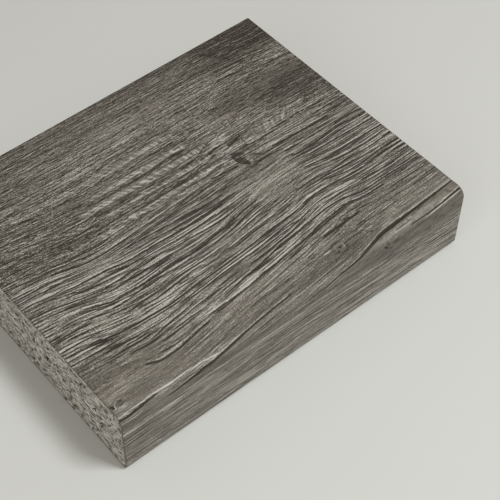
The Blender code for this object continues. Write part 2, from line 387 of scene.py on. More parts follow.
# Short raised flecks that cross the grain: start, end, half width in mm, height share.
FLECKS = [
    ((14, 105.8), (16.5, 104.7), 0.5, 0.6), ((15.6, 103.1), (18, 102.4), 0.5, 0.8),
    ((20.5, 103.1), (24, 101.2), 0.6, 1.0), ((27.3, 101.5), (34, 100.2), 0.5, 0.8),
    ((41, 99.6), (46.3, 99.2), 0.5, 0.6), ((51.5, 99.2), (55, 97.9), 0.6, 0.9),
    ((57.5, 98.6), (60, 98.3), 0.5, 0.7), ((63.3, 99.4), (66.5, 97.2), 0.6, 0.8),
    ((16.2, 96.6), (20, 95.3), 0.5, 0.8), ((21.4, 95.9), (24.7, 94.6), 0.5, 0.8),
    ((26, 95.3), (29.3, 94), 0.5, 0.9), ((31.2, 95.3), (34, 93.7), 0.5, 0.8),
    ((39.7, 94), (43, 92.7), 0.5, 0.7), ((45, 93.7), (47, 92.4), 0.5, 0.9),
    ((4.4, 97), (10, 96.3), 0.5, 0.6), ((9.3, 102.1), (12.3, 101.8), 0.4, 0.6),
    ((56.8, 85), (59, 84), 0.5, 0.7), ((63, 85), (65, 83.8), 0.5, 0.7),
    ((67.5, 84.2), (69.5, 83), 0.5, 0.8), ((72.5, 83.6), (75, 82), 0.5, 0.9),
    ((55, 82.2), (60.5, 81.5), 0.5, 0.6), ((80.5, 81.5), (83.5, 80.4), 0.5, 0.7),
    ((92.5, 81.4), (96.5, 80.2), 0.5, 0.7),
    ((155.3, 107.9), (158.2, 109.8), 0.6, 0.8), ((158.2, 109.8), (161.5, 112.2), 0.45, 0.7),
    ((145.8, 101), (149.4, 104.3), 0.5, 0.6), ((151.3, 101.3), (154.3, 103.2), 0.5, 0.7),
    ((160.5, 100.4), (163.5, 103.4), 0.5, 0.8), ((167, 101), (169.5, 102.2), 0.5, 0.6),
    ((153.6, 95.1), (158.9, 98), 0.6, 0.9), ((163.8, 94.8), (167.4, 98.2), 0.6, 0.7),
    ((140.5, 112), (142.3, 113.6), 0.45, 0.5), ((146, 111), (147, 112.4), 0.5, 0.6),
    ((160, 115.8), (162.5, 117.8), 0.6, 0.6), ((167, 117), (170, 118.5), 0.5, 0.5),
    ((165.6, 86.8), (168.6, 90), 0.5, 0.7), ((177.4, 88.4), (179.8, 90), 0.45, 0.6),
    ((160.5, 87.4), (162.6, 90.2), 0.5, 0.6), ((155, 87.6), (156, 90.2), 0.5, 0.6),
]

# Rows of ripple figure: place among the grain lines, half width in mm, strength, from, to.
RIPPLE_ROWS = [
    (134.3, 1.5, 0.45, 60, 158), (128.6, 1.3, 0.3, 70, 150), (120.2, 1.2, 0.45, 50, 138),
    (113.6, 1.5, 0.8, 46, 118), (104.2, 1.4, 0.85, 52, 116), (97.5, 1.6, 1.15, 46, 124),
    (91.1, 1.2, 0.9, 52, 126), (84.2, 1.0, 1.0, 44, 124), (80.8, 0.8, 0.6, 78, 126),
    (101.2, 1.2, 0.4, 92, 112), (112.0, 2.6, 0.45, 118, 142), (104.0, 3.0, 0.7, 126, 146),
    (97.0, 2.0, 0.6, 132, 160), (89.4, 1.9, 0.95, 140, 176), (83.6, 1.0, 0.75, 140, 182),
    (80.6, 0.9, 0.6, 142, 170), (118.6, 1.6, 0.4, 132, 142),
]

# Broad light and dark places of the print: tone change, centre, half size, soft share.
PRINT_PATCHES = [
    (-26, (182, 150), (34, 20), 0.6), (-9, (120, 154), (90, 8), 0.5),
    (-12, (200, 140), (34, 10), 0.5),
    (-20, (168, 112), (31, 8), 0.30), (-22, (186, 102), (24, 8), 0.35),
    (-10, (192, 94), (14, 6), 0.5),
    (12, (146, 128), (16, 5), 0.6), (6, (186, 126), (14, 4), 0.5), (5, (80, 126), (40, 10), 0.6),
    (26, (127.5, 96), (5.0, 3.2), 0.5), (22, (128, 88.5), (5.5, 2.4), 0.5),
    (8, (130, 104), (10, 12), 0.6), (7, (160, 84), (26, 7), 0.6), (-8, (24, 96), (36, 12), 0.5),
    (-16, (136, 72.5), (7, 2.6), 0.7), (-14, (134.6, 78.0), (3.0, 2.6), 0.7),
    (-18, (140, 76.4), (3.6, 2.4), 0.7),
    (-11, (134, 67), (6, 2.4), 0.5), (8, (128, 60), (14, 6), 0.6), (7, (86, 62), (60, 4), 0.6),
    (10, (44, 37.6), (24, 3.4), 0.5), (8, (10, 50), (20, 10), 0.6), (-17, (4, 24), (10, 7), 0.5),
    (8, (8, 14), (15, 4.6), 0.5), (-7, (15, 8), (7, 3), 0.5), (-9, (36, 17.4), (16, 3.4), 0.5),
    (9, (92, 17), (34, 4.5), 0.6), (9, (74, 23.5), (26, 3.2), 0.6), (-10, (152, 23), (26, 2.6), 0.5),
    (-12, (139, 20.6), (14, 1.6), 0.5), (-7, (86, 7), (24, 4), 0.6), (-9, (132, 6.4), (18, 3.4), 0.5),
    (-8, (134, 11.6), (7, 3.4), 0.5), (7, (176, 12), (26, 4), 0.6), (4, (172, 3.4), (26, 2.4), 0.5),
    (-7, (120, -2.6), (80, 2.8), 0.4), (-8, (30, -3), (60, 2.4), 0.4),
    (11, (60, -8), (76, 2.6), 0.5), (8, (150, -12.5), (54, 3), 0.5),
    (-7, (50, -13.2), (70, 2.2), 0.5),
    (-5, (30, -22), (60, 3), 0.5), (6, (130, -27), (80, 3.5), 0.5),
    (9, (80, 40), (26, 12), 0.6), (5, (82, 58), (24, 8), 0.6), (7, (153, 92), (16, 8), 0.6),
    (-9, (118, 7), (26, 8), 0.6), (-8, (180, 22), (20, 8), 0.6), (8, (46, -25), (24, 8), 0.6),
    (6, (80, -17), (30, 12), 0.6), (5, (62, -8), (40, 5), 0.6), (-4, (180, -8), (24, 5), 0.6),
    (-20, (176, -6.5), (46, 6.0), 0.5), (-8, (60, -26), (70, 7), 0.6), (-6, (100, -9), (60, 4), 0.6),
]

# Torn holes of the knots: start, end, half width in mm. The finish paints shade inside them.
HOLES = [
    ((127.6, 85.0), (131.8, 82.7), 0.85), ((126.9, 83.5), (127.9, 81.0), 1.0),
    ((127.9, 81.0), (129.2, 78.2), 1.9), ((129.2, 78.2), (130.0, 76.2), 1.2),
    ((128.3, 12.0), (128.6, 11.5), 0.45),
]

# Crisp dark dashes and arcs round the knots: start, end, half width in mm, strength.
DARK_DASHES = [
    ((129.5, 90.2), (133.5, 91.0), 0.7, 1.0), ((133.5, 91.0), (138.0, 92.4), 0.8, 1.0),
    ((137.6, 90.5), (137.2, 86.0), 0.45, 0.6), ((137.2, 85.8), (133.6, 84.2), 0.6, 0.7),
    ((137.2, 85.6), (141.0, 84.6), 0.5, 0.9), ((141.0, 84.6), (146.5, 83.0), 0.45, 0.8),
    ((134.0, 79.4), (136.5, 78.2), 0.9, 0.45), ((129.5, 73.2), (133.0, 72.6), 0.9, 0.5),
    ((137.0, 77.6), (139.5, 76.4), 1.1, 0.5), ((136.8, 100.5), (136.6, 104.5), 0.5, 0.7),
    ((139.0, 99.5), (140.0, 103.0), 0.4, 0.5), ((110.5, 79.2), (118.0, 78.2), 0.6, 0.9),
    ((118.0, 78.2), (124.6, 77.8), 0.6, 0.9), ((104.0, 92.8), (112.0, 93.6), 0.5, 0.8),
    ((114.0, 91.6), (119.0, 92.0), 0.6, 0.9), ((119.0, 92.0), (127.0, 93.4), 0.6, 1.0),
    ((116.0, 95.2), (124.0, 98.4), 0.45, 0.7), ((128.8, 14.4), (128.2, 14.8), 0.5, 0.5),
    ((126.8, 10.4), (126.2, 9.6), 0.5, 0.7), ((145.3, 9.6), (146.2, 9.2), 0.5, 0.8),
    ((131.5, 20.0), (138.5, 23.4), 0.5, 0.7), ((138.5, 23.4), (143.5, 21.6), 0.9, 0.7),
    ((104.0, 30.5), (112.0, 31.2), 0.4, 0.6), ((161.0, 3.2), (155.0, 3.1), 0.35, 0.55),
    ((165.0, 3.6), (161.0, 3.2), 0.3, 0.4), ((163.0, 1.2), (176.0, 1.4), 0.4, 0.7),
    ((145.8, -0.9), (146.6, -1.8), 0.6, 0.9), ((148.0, -3.2), (149.5, -3.4), 0.7, 0.6),
    ((0.9, 8.5), (1.5, 7.5), 0.6, 0.9), ((4.8, 8.9), (6.3, 8.8), 0.4, 0.6),
    ((4.6, 7.2), (5.6, 6.7), 0.35, 0.5),
]

# Crisp pale dashes: start, end, half width in mm, strength. The first two lie in the main knot's hole,
# where they show as painted highlights.
PALE_DASHES = [
    ((127.6, 82.5), (129.0, 81.9), 0.4, 1.1), ((130.6, 78.3), (131.6, 78.0), 0.4, 1.0),
    ((132.2, 76.8), (132.6, 76.2), 0.4, 0.9), ((112.0, 84.6), (125.6, 83.4), 0.6, 0.7),
    ((112.0, 80.8), (125.4, 79.8), 0.6, 0.7), ((125.0, 96.6), (132.8, 97.6), 0.6, 0.8),
    ((122.5, 96.0), (127.5, 96.8), 0.6, 0.5), ((142.0, 74.4), (150.0, 73.6), 0.6, 0.6),
    ((130.4, 10.2), (131.0, 12.6), 0.4, 0.7),
    ((124.0, 12.8), (120.5, 12.6), 0.5, 0.7), ((144.6, 11.6), (148.0, 11.6), 0.5, 0.9),
    ((147.0, 3.0), (156.0, 4.1), 0.7, 0.25), ((156.0, 4.1), (165.0, 4.6), 0.6, 0.35),
    ((153.5, 2.3), (164.0, 2.6), 0.35, 0.5), ((183.0, 2.9), (195.0, 3.8), 0.35, 0.6),
    ((151.0, 8.6), (158.0, 9.4), 0.45, 0.6), ((132.5, 21.5), (137.5, 24.9), 0.5, 0.6),
    ((2.6, 8.4), (2.0, 6.2), 0.4, 0.8), ((2.2, 10.6), (5.0, 10.6), 0.4, 0.5),
]

# Rings round the small knots: centre, half size in mm, tone change.
KNOT_RINGS = [
    ((128.5, 11.8), (5.6, 4.8), 17), ((5.2, 7.9), (2.4, 2.2), 12),
    ((148.0, -3.4), (3.0, 2.6), 12),
]

# Knots: centre, half size in mm, depth share.
KNOTS = [
    ((128.4, 81.0), (1.6, 3.4), 0.4),
    ((1.2, 8.0), (1.5, 1.3), 0.5), ((5.5, 8.0), (1.4, 1.1), 0.4), ((128.5, 11.8), (1.3, 1.1), 0.35),
    ((146, -1.3), (1.3, 1.0), 0.6), ((66.2, 122.4), (1.3, 0.6), 0.6), ((110.1, 14.6), (0.5, 0.7), 0.5),
    ((63.2, 30.2), (0.6, 0.5), 0.5), ((165, 12.3), (1.6, 0.7), 0.5),
]

# Light spots beside the knots: centre, half size in mm, tone change.
KNOT_SPOTS = [
    ((5.0, 5.9), (2.0, 0.5), 34),
    ((66.2, 124.0), (1.4, 0.7), 26), ((131.4, 13.4), (1.2, 1.4), 14), ((149.5, -2.0), (1.3, 1.0), 16),
    ((132, 77.8), (1.4, 1.2), 26),
]

# The dark streak across the far back corner, and the arc that closes the smooth near end.
FAR_STREAK = [(160, 147), (167, 137.5), (170, 132.5), (176, 126)]
NEAR_ARC = [(9.7, 33.4), (13.6, 26.5), (15.6, 22.4), (18.2, 19), (22, 17)]

# The ripple figure along the grain: spacing of its flecks in mm, and how far they lean.
RIPPLE_SPACING = ([0, 60, 100, 128, 140, 195], [3.5, 3.1, 2.7, 2.4, 2.2, 2.7])
RIPPLE_LEAN = ([0, 60, 85, 105, 140, 160, 195], [-1.5, -1.3, -0.9, -0.3, 0.1, 0.7, 1.0])
# Flecks beyond the main knot, from these distances along the grain, are drawn fainter.
RIPPLE_FAINT_FROM = 128
MAIN_KNOT_ALONG = 130

# Places across the sheet in mm, and the value at each: how strongly the grain is grooved, how
# strongly fibres show, how much is broken into short dashes, and the print's tone.
COARSE_ACROSS = (
    [-57, -33, -4, 6, 16, 26, 34, 72, 84, 100, 122, 138, 154],
    [0.4, 0.62, 0.50, 0.22, 0.36, 0.8, 1.0, 1.0, 0.66, 0.48, 0.42, 0.40, 0.34],
)
LIVELY_ACROSS = (
    [-57, -33, -8, 4, 16, 34, 72, 84, 120, 138, 154],
    [0.6, 0.80, 0.80, 0.75, 0.9, 1.0, 1.0, 1.0, 1.0, 0.90, 0.9],
)
BROKEN_ACROSS = ([-57, 0, 30, 74, 86, 120, 154], [0.1, 0.2, 0.25, 0.3, 1.0, 0.9, 0.5])
TONE_ACROSS = (
    [-34, -20, -10, -4, 4, 14, 30, 48, 62, 72, 88, 130, 146, 154],
    [3, 2, -4, -9, -8, -5, -5, -4, -2, -11, -13, -10, -15, -19],
)

# Lines that come this near to the near end, or twice this to the far end, run to the cut, in mm.
CUT_THROUGH = 0.5

# Quieter places: share taken off, centre, half size in mm.
COARSE_QUIET = [
    (0.6, (132, 60), (16, 13)), (0.5, (150, 23), (28, 5)), (0.45, (98, 46), (14, 3)),
    (0.65, (3, 26), (13, 10)), (0.6, (14, 13), (24, 11)), (0.65, (170, 110), (32, 11)),
    (0.5, (134, 72), (9, 6)),
]
LIVELY_QUIET = [
    (0.5, (170, 108), (30, 11)), (0.35, (16, 17), (28, 15)), (0.55, (128.5, 11.8), (6, 5)),
]


def grain_place(along, across):
    """Which grain line each point lies on, named by the line's place at the reference."""
    heights = np.array([smooth_course(line, along) for line in GRAIN_LINES])
    names = np.array([float(smooth_course(line, np.array([GRAIN_REFERENCE]))[0])
                      for line in GRAIN_LINES])
    place = np.empty((across.size, along.size))
    for column in range(along.size):
        place[:, column] = np.interp(across, heights[:, column], names)
    return place


def along_strength(points, along, fade):
    """1 along a line, fading to 0 over the last stretch at both of its ends inside the sheet."""
    start, end = points[0][0], points[-1][0]
    fade = min(fade, 0.45 * (end - start))
    from_near_end = start <= CUT_THROUGH
    to_far_end = end >= LENGTH / MM - 2 * CUT_THROUGH
    rise = 1.0 if from_near_end else smooth_step(start, start + fade, along)
    fall = 1.0 if to_far_end else 1.0 - smooth_step(end - fade, end, along)
    return rise * fall * ((along >= start) & (along <= end))


def distance_to_line(along, across, start, end):
    """Distance of each point from the straight line between two points."""
    run, rise = end[0] - start[0], end[1] - start[1]
    share = ((along - start[0]) * run + (across - start[1]) * rise) / (run * run + rise * rise)
    share = np.clip(share, 0.0, 1.0)
    return np.hypot(along - start[0] - share * run, across - start[1] - share * rise)


class Strokes:
    """Crisp lines: the strength of the nearest one, and the place across it in half widths."""

    FAR = 3.0
    REACH = 0.8

    def __init__(self, shape):
        self.share = np.zeros(shape)
        self.off = np.full(shape, self.FAR)

    def add(self, off, half, strength):
        """Draws a line from each point's signed distance to its middle."""
        share = strength * np.exp(-((off / np.maximum(1.2 * half, self.REACH)) ** 2))
        self.off = np.where(share > self.share, np.clip(off / half, -self.FAR, self.FAR), self.off)
        self.share = np.maximum(self.share, share)

    def add_dash(self, along, across, start, end, half, strength):
        """Draws a short straight line between two points."""
        run, rise = end[0] - start[0], end[1] - start[1]
        length = math.hypot(run, rise)
        lengthwise = ((along - start[0]) * run + (across - start[1]) * rise) / length
        aside = ((across - start[1]) * run - (along - start[0]) * rise) / length
        beyond = np.maximum(np.maximum(-lengthwise, lengthwise - length), 0)
        self.add(aside, half, strength * np.exp(-((beyond / half) ** 2)))


def over_sheet(across, course):
    """A value that changes only across the sheet, as one column."""
    places, values = course
    return np.interp(across, places, values)[:, None]


def bump_at(off, half):
    """A soft ridge profile: 1 in the middle, and about a third at half on either side."""
    return np.exp(-((off / half) ** 2))


class PressPlate:
    """The plate that embosses the sheet, and the print that follows it, on rows by columns.

    Relief is a share of the embossing depth, 0 for the untouched sheet. Tone is in steps of the print's
    grey scale around its middle. Dark and pale hold the crisp lines: print, with painted shade in the
    grooves and cracks and painted highlights on their lit side.
    """

    def __init__(self, along, across):
        self.along = along
        self.across = across
        # The same distances as a row and a column, which numpy spreads over the whole sheet.
        self.A = along[None, :]
        self.S = across[:, None]
        self.place = grain_place(along, across)
        self.streak = Mottle(SEED)
        self.fibre = Mottle(SEED + 1)
        self.drift = Mottle(SEED + 2)
        self.speck = Mottle(SEED + 3)
        # The random grain is stretched unevenly along its own length.
        self.uneven = self.A + 8.0 * self.drift(self.A / 30, self.place / 7)
        self.dark = Strokes(self.place.shape)
        self.pale = Strokes(self.place.shape)

    def stamp(self, shape, relief=0.0, tone=0.0):
        """Adds a shape to the relief and to the print, each by its own amount."""
        self.relief = self.relief + relief * shape
        self.tone = self.tone + tone * shape

    def set_strengths(self):
        """How strongly the grain is grooved, how much fibres show, and how broken they are."""
        self.coarse = over_sheet(self.across, COARSE_ACROSS)
        for share, centre, half in COARSE_QUIET:
            self.coarse = self.coarse * (1 - share * patch(self.A, self.S, centre, half))
        self.lively = over_sheet(self.across, LIVELY_ACROSS)
        for share, centre, half in LIVELY_QUIET:
            self.lively = self.lively * (1 - share * patch(self.A, self.S, centre, half))
        # Where the grain lines part round the knots, the print goes quiet between them.
        self.parted = 1 - smooth_step(0.35, 0.75, np.gradient(self.place, self.across, axis=0))
        self.lively = self.lively * (1 - 0.65 * self.parted)
        self.coarse = self.coarse * (1 - 0.8 * self.parted)
        self.broken = over_sheet(self.across, BROKEN_ACROSS)

    def press_random_grain(self):
        """Broad bands, long thin grooves that wander, meet and part, and short dashes."""
        A, S, place, uneven = self.A, self.S, self.place, self.uneven
        streak, fibre = self.streak, self.fibre
        bands = streak(uneven / 44.0, place / 1.9)
        gate = smooth_step(-0.45, 0.35, streak(A / 24 + 7, place / 3.1 + 5))
        grooves = bump_at(streak(uneven / 50.0 + 91.3, place / 2.5 + 47.1), 0.20) * gate
        gate = smooth_step(-0.45, 0.35, streak(A / 17 + 37, place / 2.2 + 25))
        scratches = bump_at(fibre(uneven / 34.0 + 31, place / 1.8 + 12), 0.22) * gate
        gate = smooth_step(-0.30, 0.40, fibre(A / 11 + 70, place / 1.7))
        nicks = bump_at(fibre(uneven / 17.0 + 131, place / 1.25 + 212), 0.24) * gate
        short = fibre(A / 5.0, place / 0.95)
        dashes = smooth_step(0.30, 0.75, -short) * self.broken
        glints = smooth_step(0.32, 0.80, short) * self.broken
        rough = self.speck(A / 1.9, S / 0.9)

        relief = self.coarse * (0.10 * bands - 0.10 * grooves - 0.07 * scratches - 0.05 * nicks)
        self.relief = relief + self.lively * (0.10 * glints - 0.12 * dashes + 0.04 * rough)
        tone = self.coarse * (8 * bands - 3 * grooves - 2 * scratches - 2 * nicks)
        tone = tone + self.lively * (3 * glints - 3 * dashes + rough)
        tone = tone + 8 * self.coarse + 12 * self.parted * fibre(A / 18 + 3, (S - 0.08 * A) / 0.9)
        tone = tone + 2.5 * self.drift(A / 24, place / 3.5)
        self.tone = tone + over_sheet(self.across, TONE_ACROSS)

    def print_patches(self):
        """Broad light and dark places, and soft rows along the grain."""
        for change, centre, half, soft in PRINT_PATCHES:
            sway = 0.10 * self.drift(self.A / 5 + centre[0], self.S / 2.5)
            spread = patch(self.A, self.S + sway * half[1], centre, half, soft)
            self.stamp(spread, tone=change)
        for change, half, points in BANDS:
            off = self.S - smooth_course(points, self.along)[None, :]
            band = bump_at(off, half) * along_strength(points, self.along, 10.0)[None, :]
            uneven = 1 + 0.5 * self.drift(self.A / 6, self.S / 2 + half)
            self.tone = self.tone + change * band * uneven
            self.relief = self.relief + 0.012 * change * band

    def streak_front(self):
        """Long, quiet streaks on the front face."""
        front = smooth_step(2.0, -6.0, self.S)
        quiet = self.fibre(self.uneven / 36.0 + 9, self.place / 0.95 + 5)
        quiet = quiet + 0.8 * self.streak(self.A / 60 + 55, self.place / 2.1)
        self.tone = self.tone + 6 * front * quiet
        self.relief = self.relief + 0.10 * front * quiet

    def drawn_line(self, points, sway, sway_at, fade, swell, pace, swell_at):
        """Signed distance from a drawn line that sways a little, and its uneven strength."""
        course = smooth_course(points, self.along) + sway * self.drift(self.along / 4.0, sway_at)
        uneven = 0.9 + swell * self.drift(self.along / pace, swell_at)
        strength = along_strength(points, self.along, fade) * uneven
        return self.S - course[None, :], strength[None, :]

    def press_grooves(self):
        """The main grooves. Their wall away from the front is steep, and its rim stands up. Their print
        is darker, partly as painted shade over the near wall, and the rim is painted lighter as a
        highlight.
        """
        for number, (depth, half, points) in enumerate(GROOVES):
            off, strength = self.drawn_line(points, 0.10, 11.3 * number, 5.0, 0.15, 6.0, 5.1 * number)
            # The groove's dark reaches further over the shaded near wall as painted shade; the raised
            # far edge is painted lighter as a highlight.
            cut = bump_at(off, half * np.where(off > 0, 0.6, 1.1)) * strength
            lit_shoulder = bump_at(off - 1.6 * half, 0.9 * half) * strength
            self.stamp(cut, relief=-0.75 * depth, tone=-8 * depth)
            self.stamp(lit_shoulder, relief=0.30 * depth, tone=7 * depth)
            # A dark line, partly painted shade, and a painted highlight line on the lit far wall.
            self.dark.add(off, 1.0 * half, 1.2 * depth * strength)
            self.pale.add(off - 1.4 * half, 0.65 * half, 0.9 * depth * strength)

    def press_ridges(self):
        """Raised lines between the grooves, pale partly as print and partly as painted highlight on the
        grooves' lit far side.
        """
        for number, (height, half, points) in enumerate(RIDGES):
            off, strength = self.drawn_line(points, 0.12, 7.7 * number + 60, 4.0, 0.2, 5.0, 3.3 * number)
            rise = bump_at(off, half) * strength
            self.stamp(rise, relief=0.5 * height, tone=11 * height)
            self.pale.add(off, 0.8 * half, height * strength)

    def press_cracks(self):
        """The long cracks along the front edge, each with a raised edge on its far side. They are
        darker, partly as print and partly as painted shade, and the raised edge is painted lighter as a
        highlight. Returns how deep they cut.
        """
        wobble = self.drift(self.along / 7.0, 3.7)
        deep = np.zeros_like(self.relief)
        for points, widths in CRACKS:
            course = smooth_course(points, self.along) + 0.10 * wobble
            half = np.interp(self.along, [w[0] for w in widths], [w[1] for w in widths])[None, :]
            strength = along_strength(points, self.along, 6.0)[None, :]
            off = self.S - course[None, :]
            cut = np.exp(-((np.abs(off) / half) ** 2.6)) * strength
            lit_lip = bump_at(off - 2.0 * half, half) * strength
            deep = np.maximum(deep, cut)
            # The crack is darkened partly as painted shade; its raised far edge is painted lighter as a
            # highlight.
            self.stamp(cut, tone=-14)
            self.stamp(lit_lip, relief=0.18, tone=6)
            self.dark.add(off, 1.2 * half, 1.6 * strength)
            self.pale.add(off - 1.5 * half, 0.5 * half, 0.5 * strength)
        return deep

    def press_knots(self):
        """Rings, raised flecks, the knots themselves and the spots beside them."""
        A, S = self.A, self.S
        for centre, half, change in KNOT_RINGS:
            reach = np.hypot((A - centre[0]) / half[0], (S - centre[1]) / half[1])
            reach = reach + 0.07 * self.drift(A / 2.2 + 50, S / 2.2)
            ring = np.cos(3.0 * math.pi * reach) * (1 - smooth_step(0.7, 1.1, reach))
            self.stamp(ring, relief=-0.006 * change, tone=-change)
        for start, end, half, height in FLECKS:
            rise = bump_at(distance_to_line(A, S, start, end), half)
            self.stamp(rise, relief=0.4 * height, tone=10 * height)
            paleness = 0.9 if start[0] < MAIN_KNOT_ALONG else 0.55
            self.pale.add_dash(A, S, start, end, half, paleness * height)
        for centre, half, depth in KNOTS:
            inside = patch(A, S, centre, half, 0.45)
            self.relief = self.relief * (1 - 0.7 * inside)
            self.tone = self.tone * (1 - 0.8 * inside)
            self.stamp(inside, relief=-0.9 * depth, tone=-48 * depth)
        for centre, half, change in KNOT_SPOTS:
            spot = patch(A, S, centre, half, 0.6)
            self.stamp(spot, relief=0.006 * change, tone=change)

    def press_far_streak(self):
        """The dark streak that crosses the far back corner."""
        runs = zip(FAR_STREAK, FAR_STREAK[1:])
        nearest = np.minimum.reduce([distance_to_line(self.A, self.S, *run) for run in runs])
        streak = bump_at(nearest, 1.5)
        self.stamp(streak, relief=-0.35, tone=-20)

    def draw_dashes(self):
        """Crisp dark and pale dashes round the knots."""
        for strokes, dashes in ((self.dark, DARK_DASHES), (self.pale, PALE_DASHES)):
            for start, end, half, strength in dashes:
                strokes.add_dash(self.A, self.S, start, end, half, strength)

    def tear_holes(self):
        """The torn holes of the knots. Returns how far inside one each point lies."""
        hole = np.zeros_like(self.relief)
        for start, end, half in HOLES:
            inside = 1.0 - 0.5 * distance_to_line(self.A, self.S, start, end) / half
            hole = np.maximum(hole, inside)
            self.stamp(smooth_step(0.3, 0.7, inside), relief=-1.2)
        return hole

    def press_near_arc(self):
        """The arc that closes the smooth zone at the near end."""
        for start, end in zip(NEAR_ARC, NEAR_ARC[1:]):
            arc = bump_at(distance_to_line(self.A, self.S, start, end), 0.7)
            self.stamp(arc, relief=-0.25, tone=-12)

    def press_ripple(self):
        """Rows of uneven bright flecks that lean with the distance from the main knot.

        Returns how far each point lies inside a row.
        """
        rng = np.random.default_rng(SEED + 8)
        A, place = self.A, self.place
        figure = np.zeros_like(place)
        rows = np.zeros_like(place)
        for row, half, strength, start, end in RIPPLE_ROWS:
            ends = smooth_step(start, start + 6, A) * (1 - smooth_step(end - 6, end, A))
            within = np.exp(-(((place - row) / (1.2 * half)) ** 4))
            rows = np.maximum(rows, strength * ends * within)
            x = start
            while x < end:
                spacing = float(np.interp(x, *RIPPLE_SPACING))
                lean = float(np.interp(x, *RIPPLE_LEAN))
                x = x + spacing * rng.uniform(0.65, 1.35)
                off = place - row - 0.35 * half * rng.uniform(-1, 1)
                width = 0.30 * spacing * rng.uniform(0.7, 1.2)
                fade = min(1.0, (x - start) / 10 + 0.3, (end - x) / 10 + 0.3)
                height = strength * fade * rng.uniform(0.45, 1.15)
                aside = A - x - lean * off
                figure = figure + height * np.exp(-((aside / width) ** 2) - (off / half) ** 4)
                gap = (aside - 0.5 * spacing) / (0.6 * width)
                figure = figure - 0.5 * height * np.exp(-(gap ** 2) - (off / half) ** 4)
                low, high = (0.5, 1.1) if x < RIPPLE_FAINT_FROM else (0.1, 0.6)
                drawn = rng.uniform(low, high) * height
                self.pale.add(aside, 0.5 * width, 1.2 * drawn * np.exp(-((off / half) ** 4)))
        self.stamp(figure, relief=0.36, tone=27)
        return rows


def emboss_sheet(along, across):
    """Presses the whole sheet.

    Returns its relief, its tone, the grain line under each point, and by name what the finish reads.
    """
    plate = PressPlate(along, across)
    plate.set_strengths()
    plate.press_random_grain()
    plate.print_patches()
    plate.streak_front()
    plate.press_grooves()
    plate.press_ridges()
    crack_depth = plate.press_cracks()
    plate.press_knots()
    plate.press_far_streak()
    plate.draw_dashes()
    hole = plate.tear_holes()
    plate.press_near_arc()
    plate.stamp(crack_depth, relief=-1.5)
    rows = plate.press_ripple()
    calm = 1 - 0.5 * np.clip(rows, 0, 1)
    pressed = {
        "coarse": plate.coarse * calm,
        "lively": plate.lively * calm,
        "broken": plate.broken * calm,
        "dark_share": plate.dark.share,
        "dark_off": plate.dark.off,
        "pale_share": plate.pale.share,
        "pale_off": plate.pale.off,
        "hole": hole,
    }
    return plate.relief, plate.tone, plate.place, pressed


def sheet_rows():
    """Distance over the sheet of each mesh row, in mm, denser where the embossing is finer."""
    rows = [RETURN_END / MM]
    for end, count in SHEET_ROWS:
        rows.extend(np.linspace(rows[-1], end, count + 1)[1:])
    rows = np.array(rows)
    rows[-1] = SHEET_BACK / MM
    return rows


def bend_sheet(along, over, depth):
    """Places points of the flat sheet on the board, at a depth below its outer face."""
    y = FRONT + over
    z = TOP - depth
    turn = np.clip((TOP_RADIUS - over) / TOP_RADIUS, 0.0, math.pi / 2)
    bend = over < TOP_RADIUS
    y = np.where(bend, FRONT + TOP_RADIUS - (TOP_RADIUS - depth) * np.sin(turn), y)
    z = np.where(bend, TOP - TOP_RADIUS + (TOP_RADIUS - depth) * np.cos(turn), z)
    front = over < TOP_BEND_END
    z = np.where(front, TOP - TOP_RADIUS + over - TOP_BEND_END, z)
    turn = np.clip((BOTTOM_BEND_START - over) / BOTTOM_RADIUS, 0.0, math.pi / 2)
    bend = over < BOTTOM_BEND_START
    y = np.where(bend, FRONT + BOTTOM_RADIUS - (BOTTOM_RADIUS - depth) * np.cos(turn), y)
    z = np.where(bend, UNDERSIDE + BOTTOM_RADIUS - (BOTTOM_RADIUS - depth) * np.sin(turn), z)
    under = over < BOTTOM_BEND_END
    y = np.where(under, FRONT + BOTTOM_RADIUS + BOTTOM_BEND_END - over, y)
    return np.stack([along, y, z], axis=-1)


def add_piece(name, mesh):
    """A finished piece in the scene's own collection."""
    piece = bpy.data.objects.new(name, mesh)
    bpy.context.scene.collection.objects.link(piece)
    return piece


def mesh_points(mesh):
    """All vertex positions of a mesh, one row each."""
    points = np.empty(len(mesh.vertices) * 3, np.float64)
    mesh.vertices.foreach_get("co", points)
    return points.reshape(-1, 3)


def add_values(mesh, name, values):
    """Stores one number for each vertex under a name that a material can read."""
    attribute = mesh.attributes.new(name, "FLOAT", "POINT")
    attribute.data.foreach_set("value", values.astype(np.float32))


def add_grain_map(mesh, u, v):
    """A UV map that follows the grain, from values on the vertices."""
    corners = np.empty(len(mesh.loops), np.int32)
    mesh.loops.foreach_get("vertex_index", corners)
    pairs = np.stack([u[corners], v[corners]], axis=-1)
    mesh.uv_layers.new(name="grain").data.foreach_set("uv", pairs.astype(np.float32).ravel())


# The flat sheet's outer face lies at 0 and its bonded face at -1. This tells them apart.
HALFWAY_DOWN = -0.5


def place_in_order(point):
    """One number for each point of the flat sheet: by layer, then by row, then by column."""
    return 1e6 * point.z + 1e3 * point.y + point.x


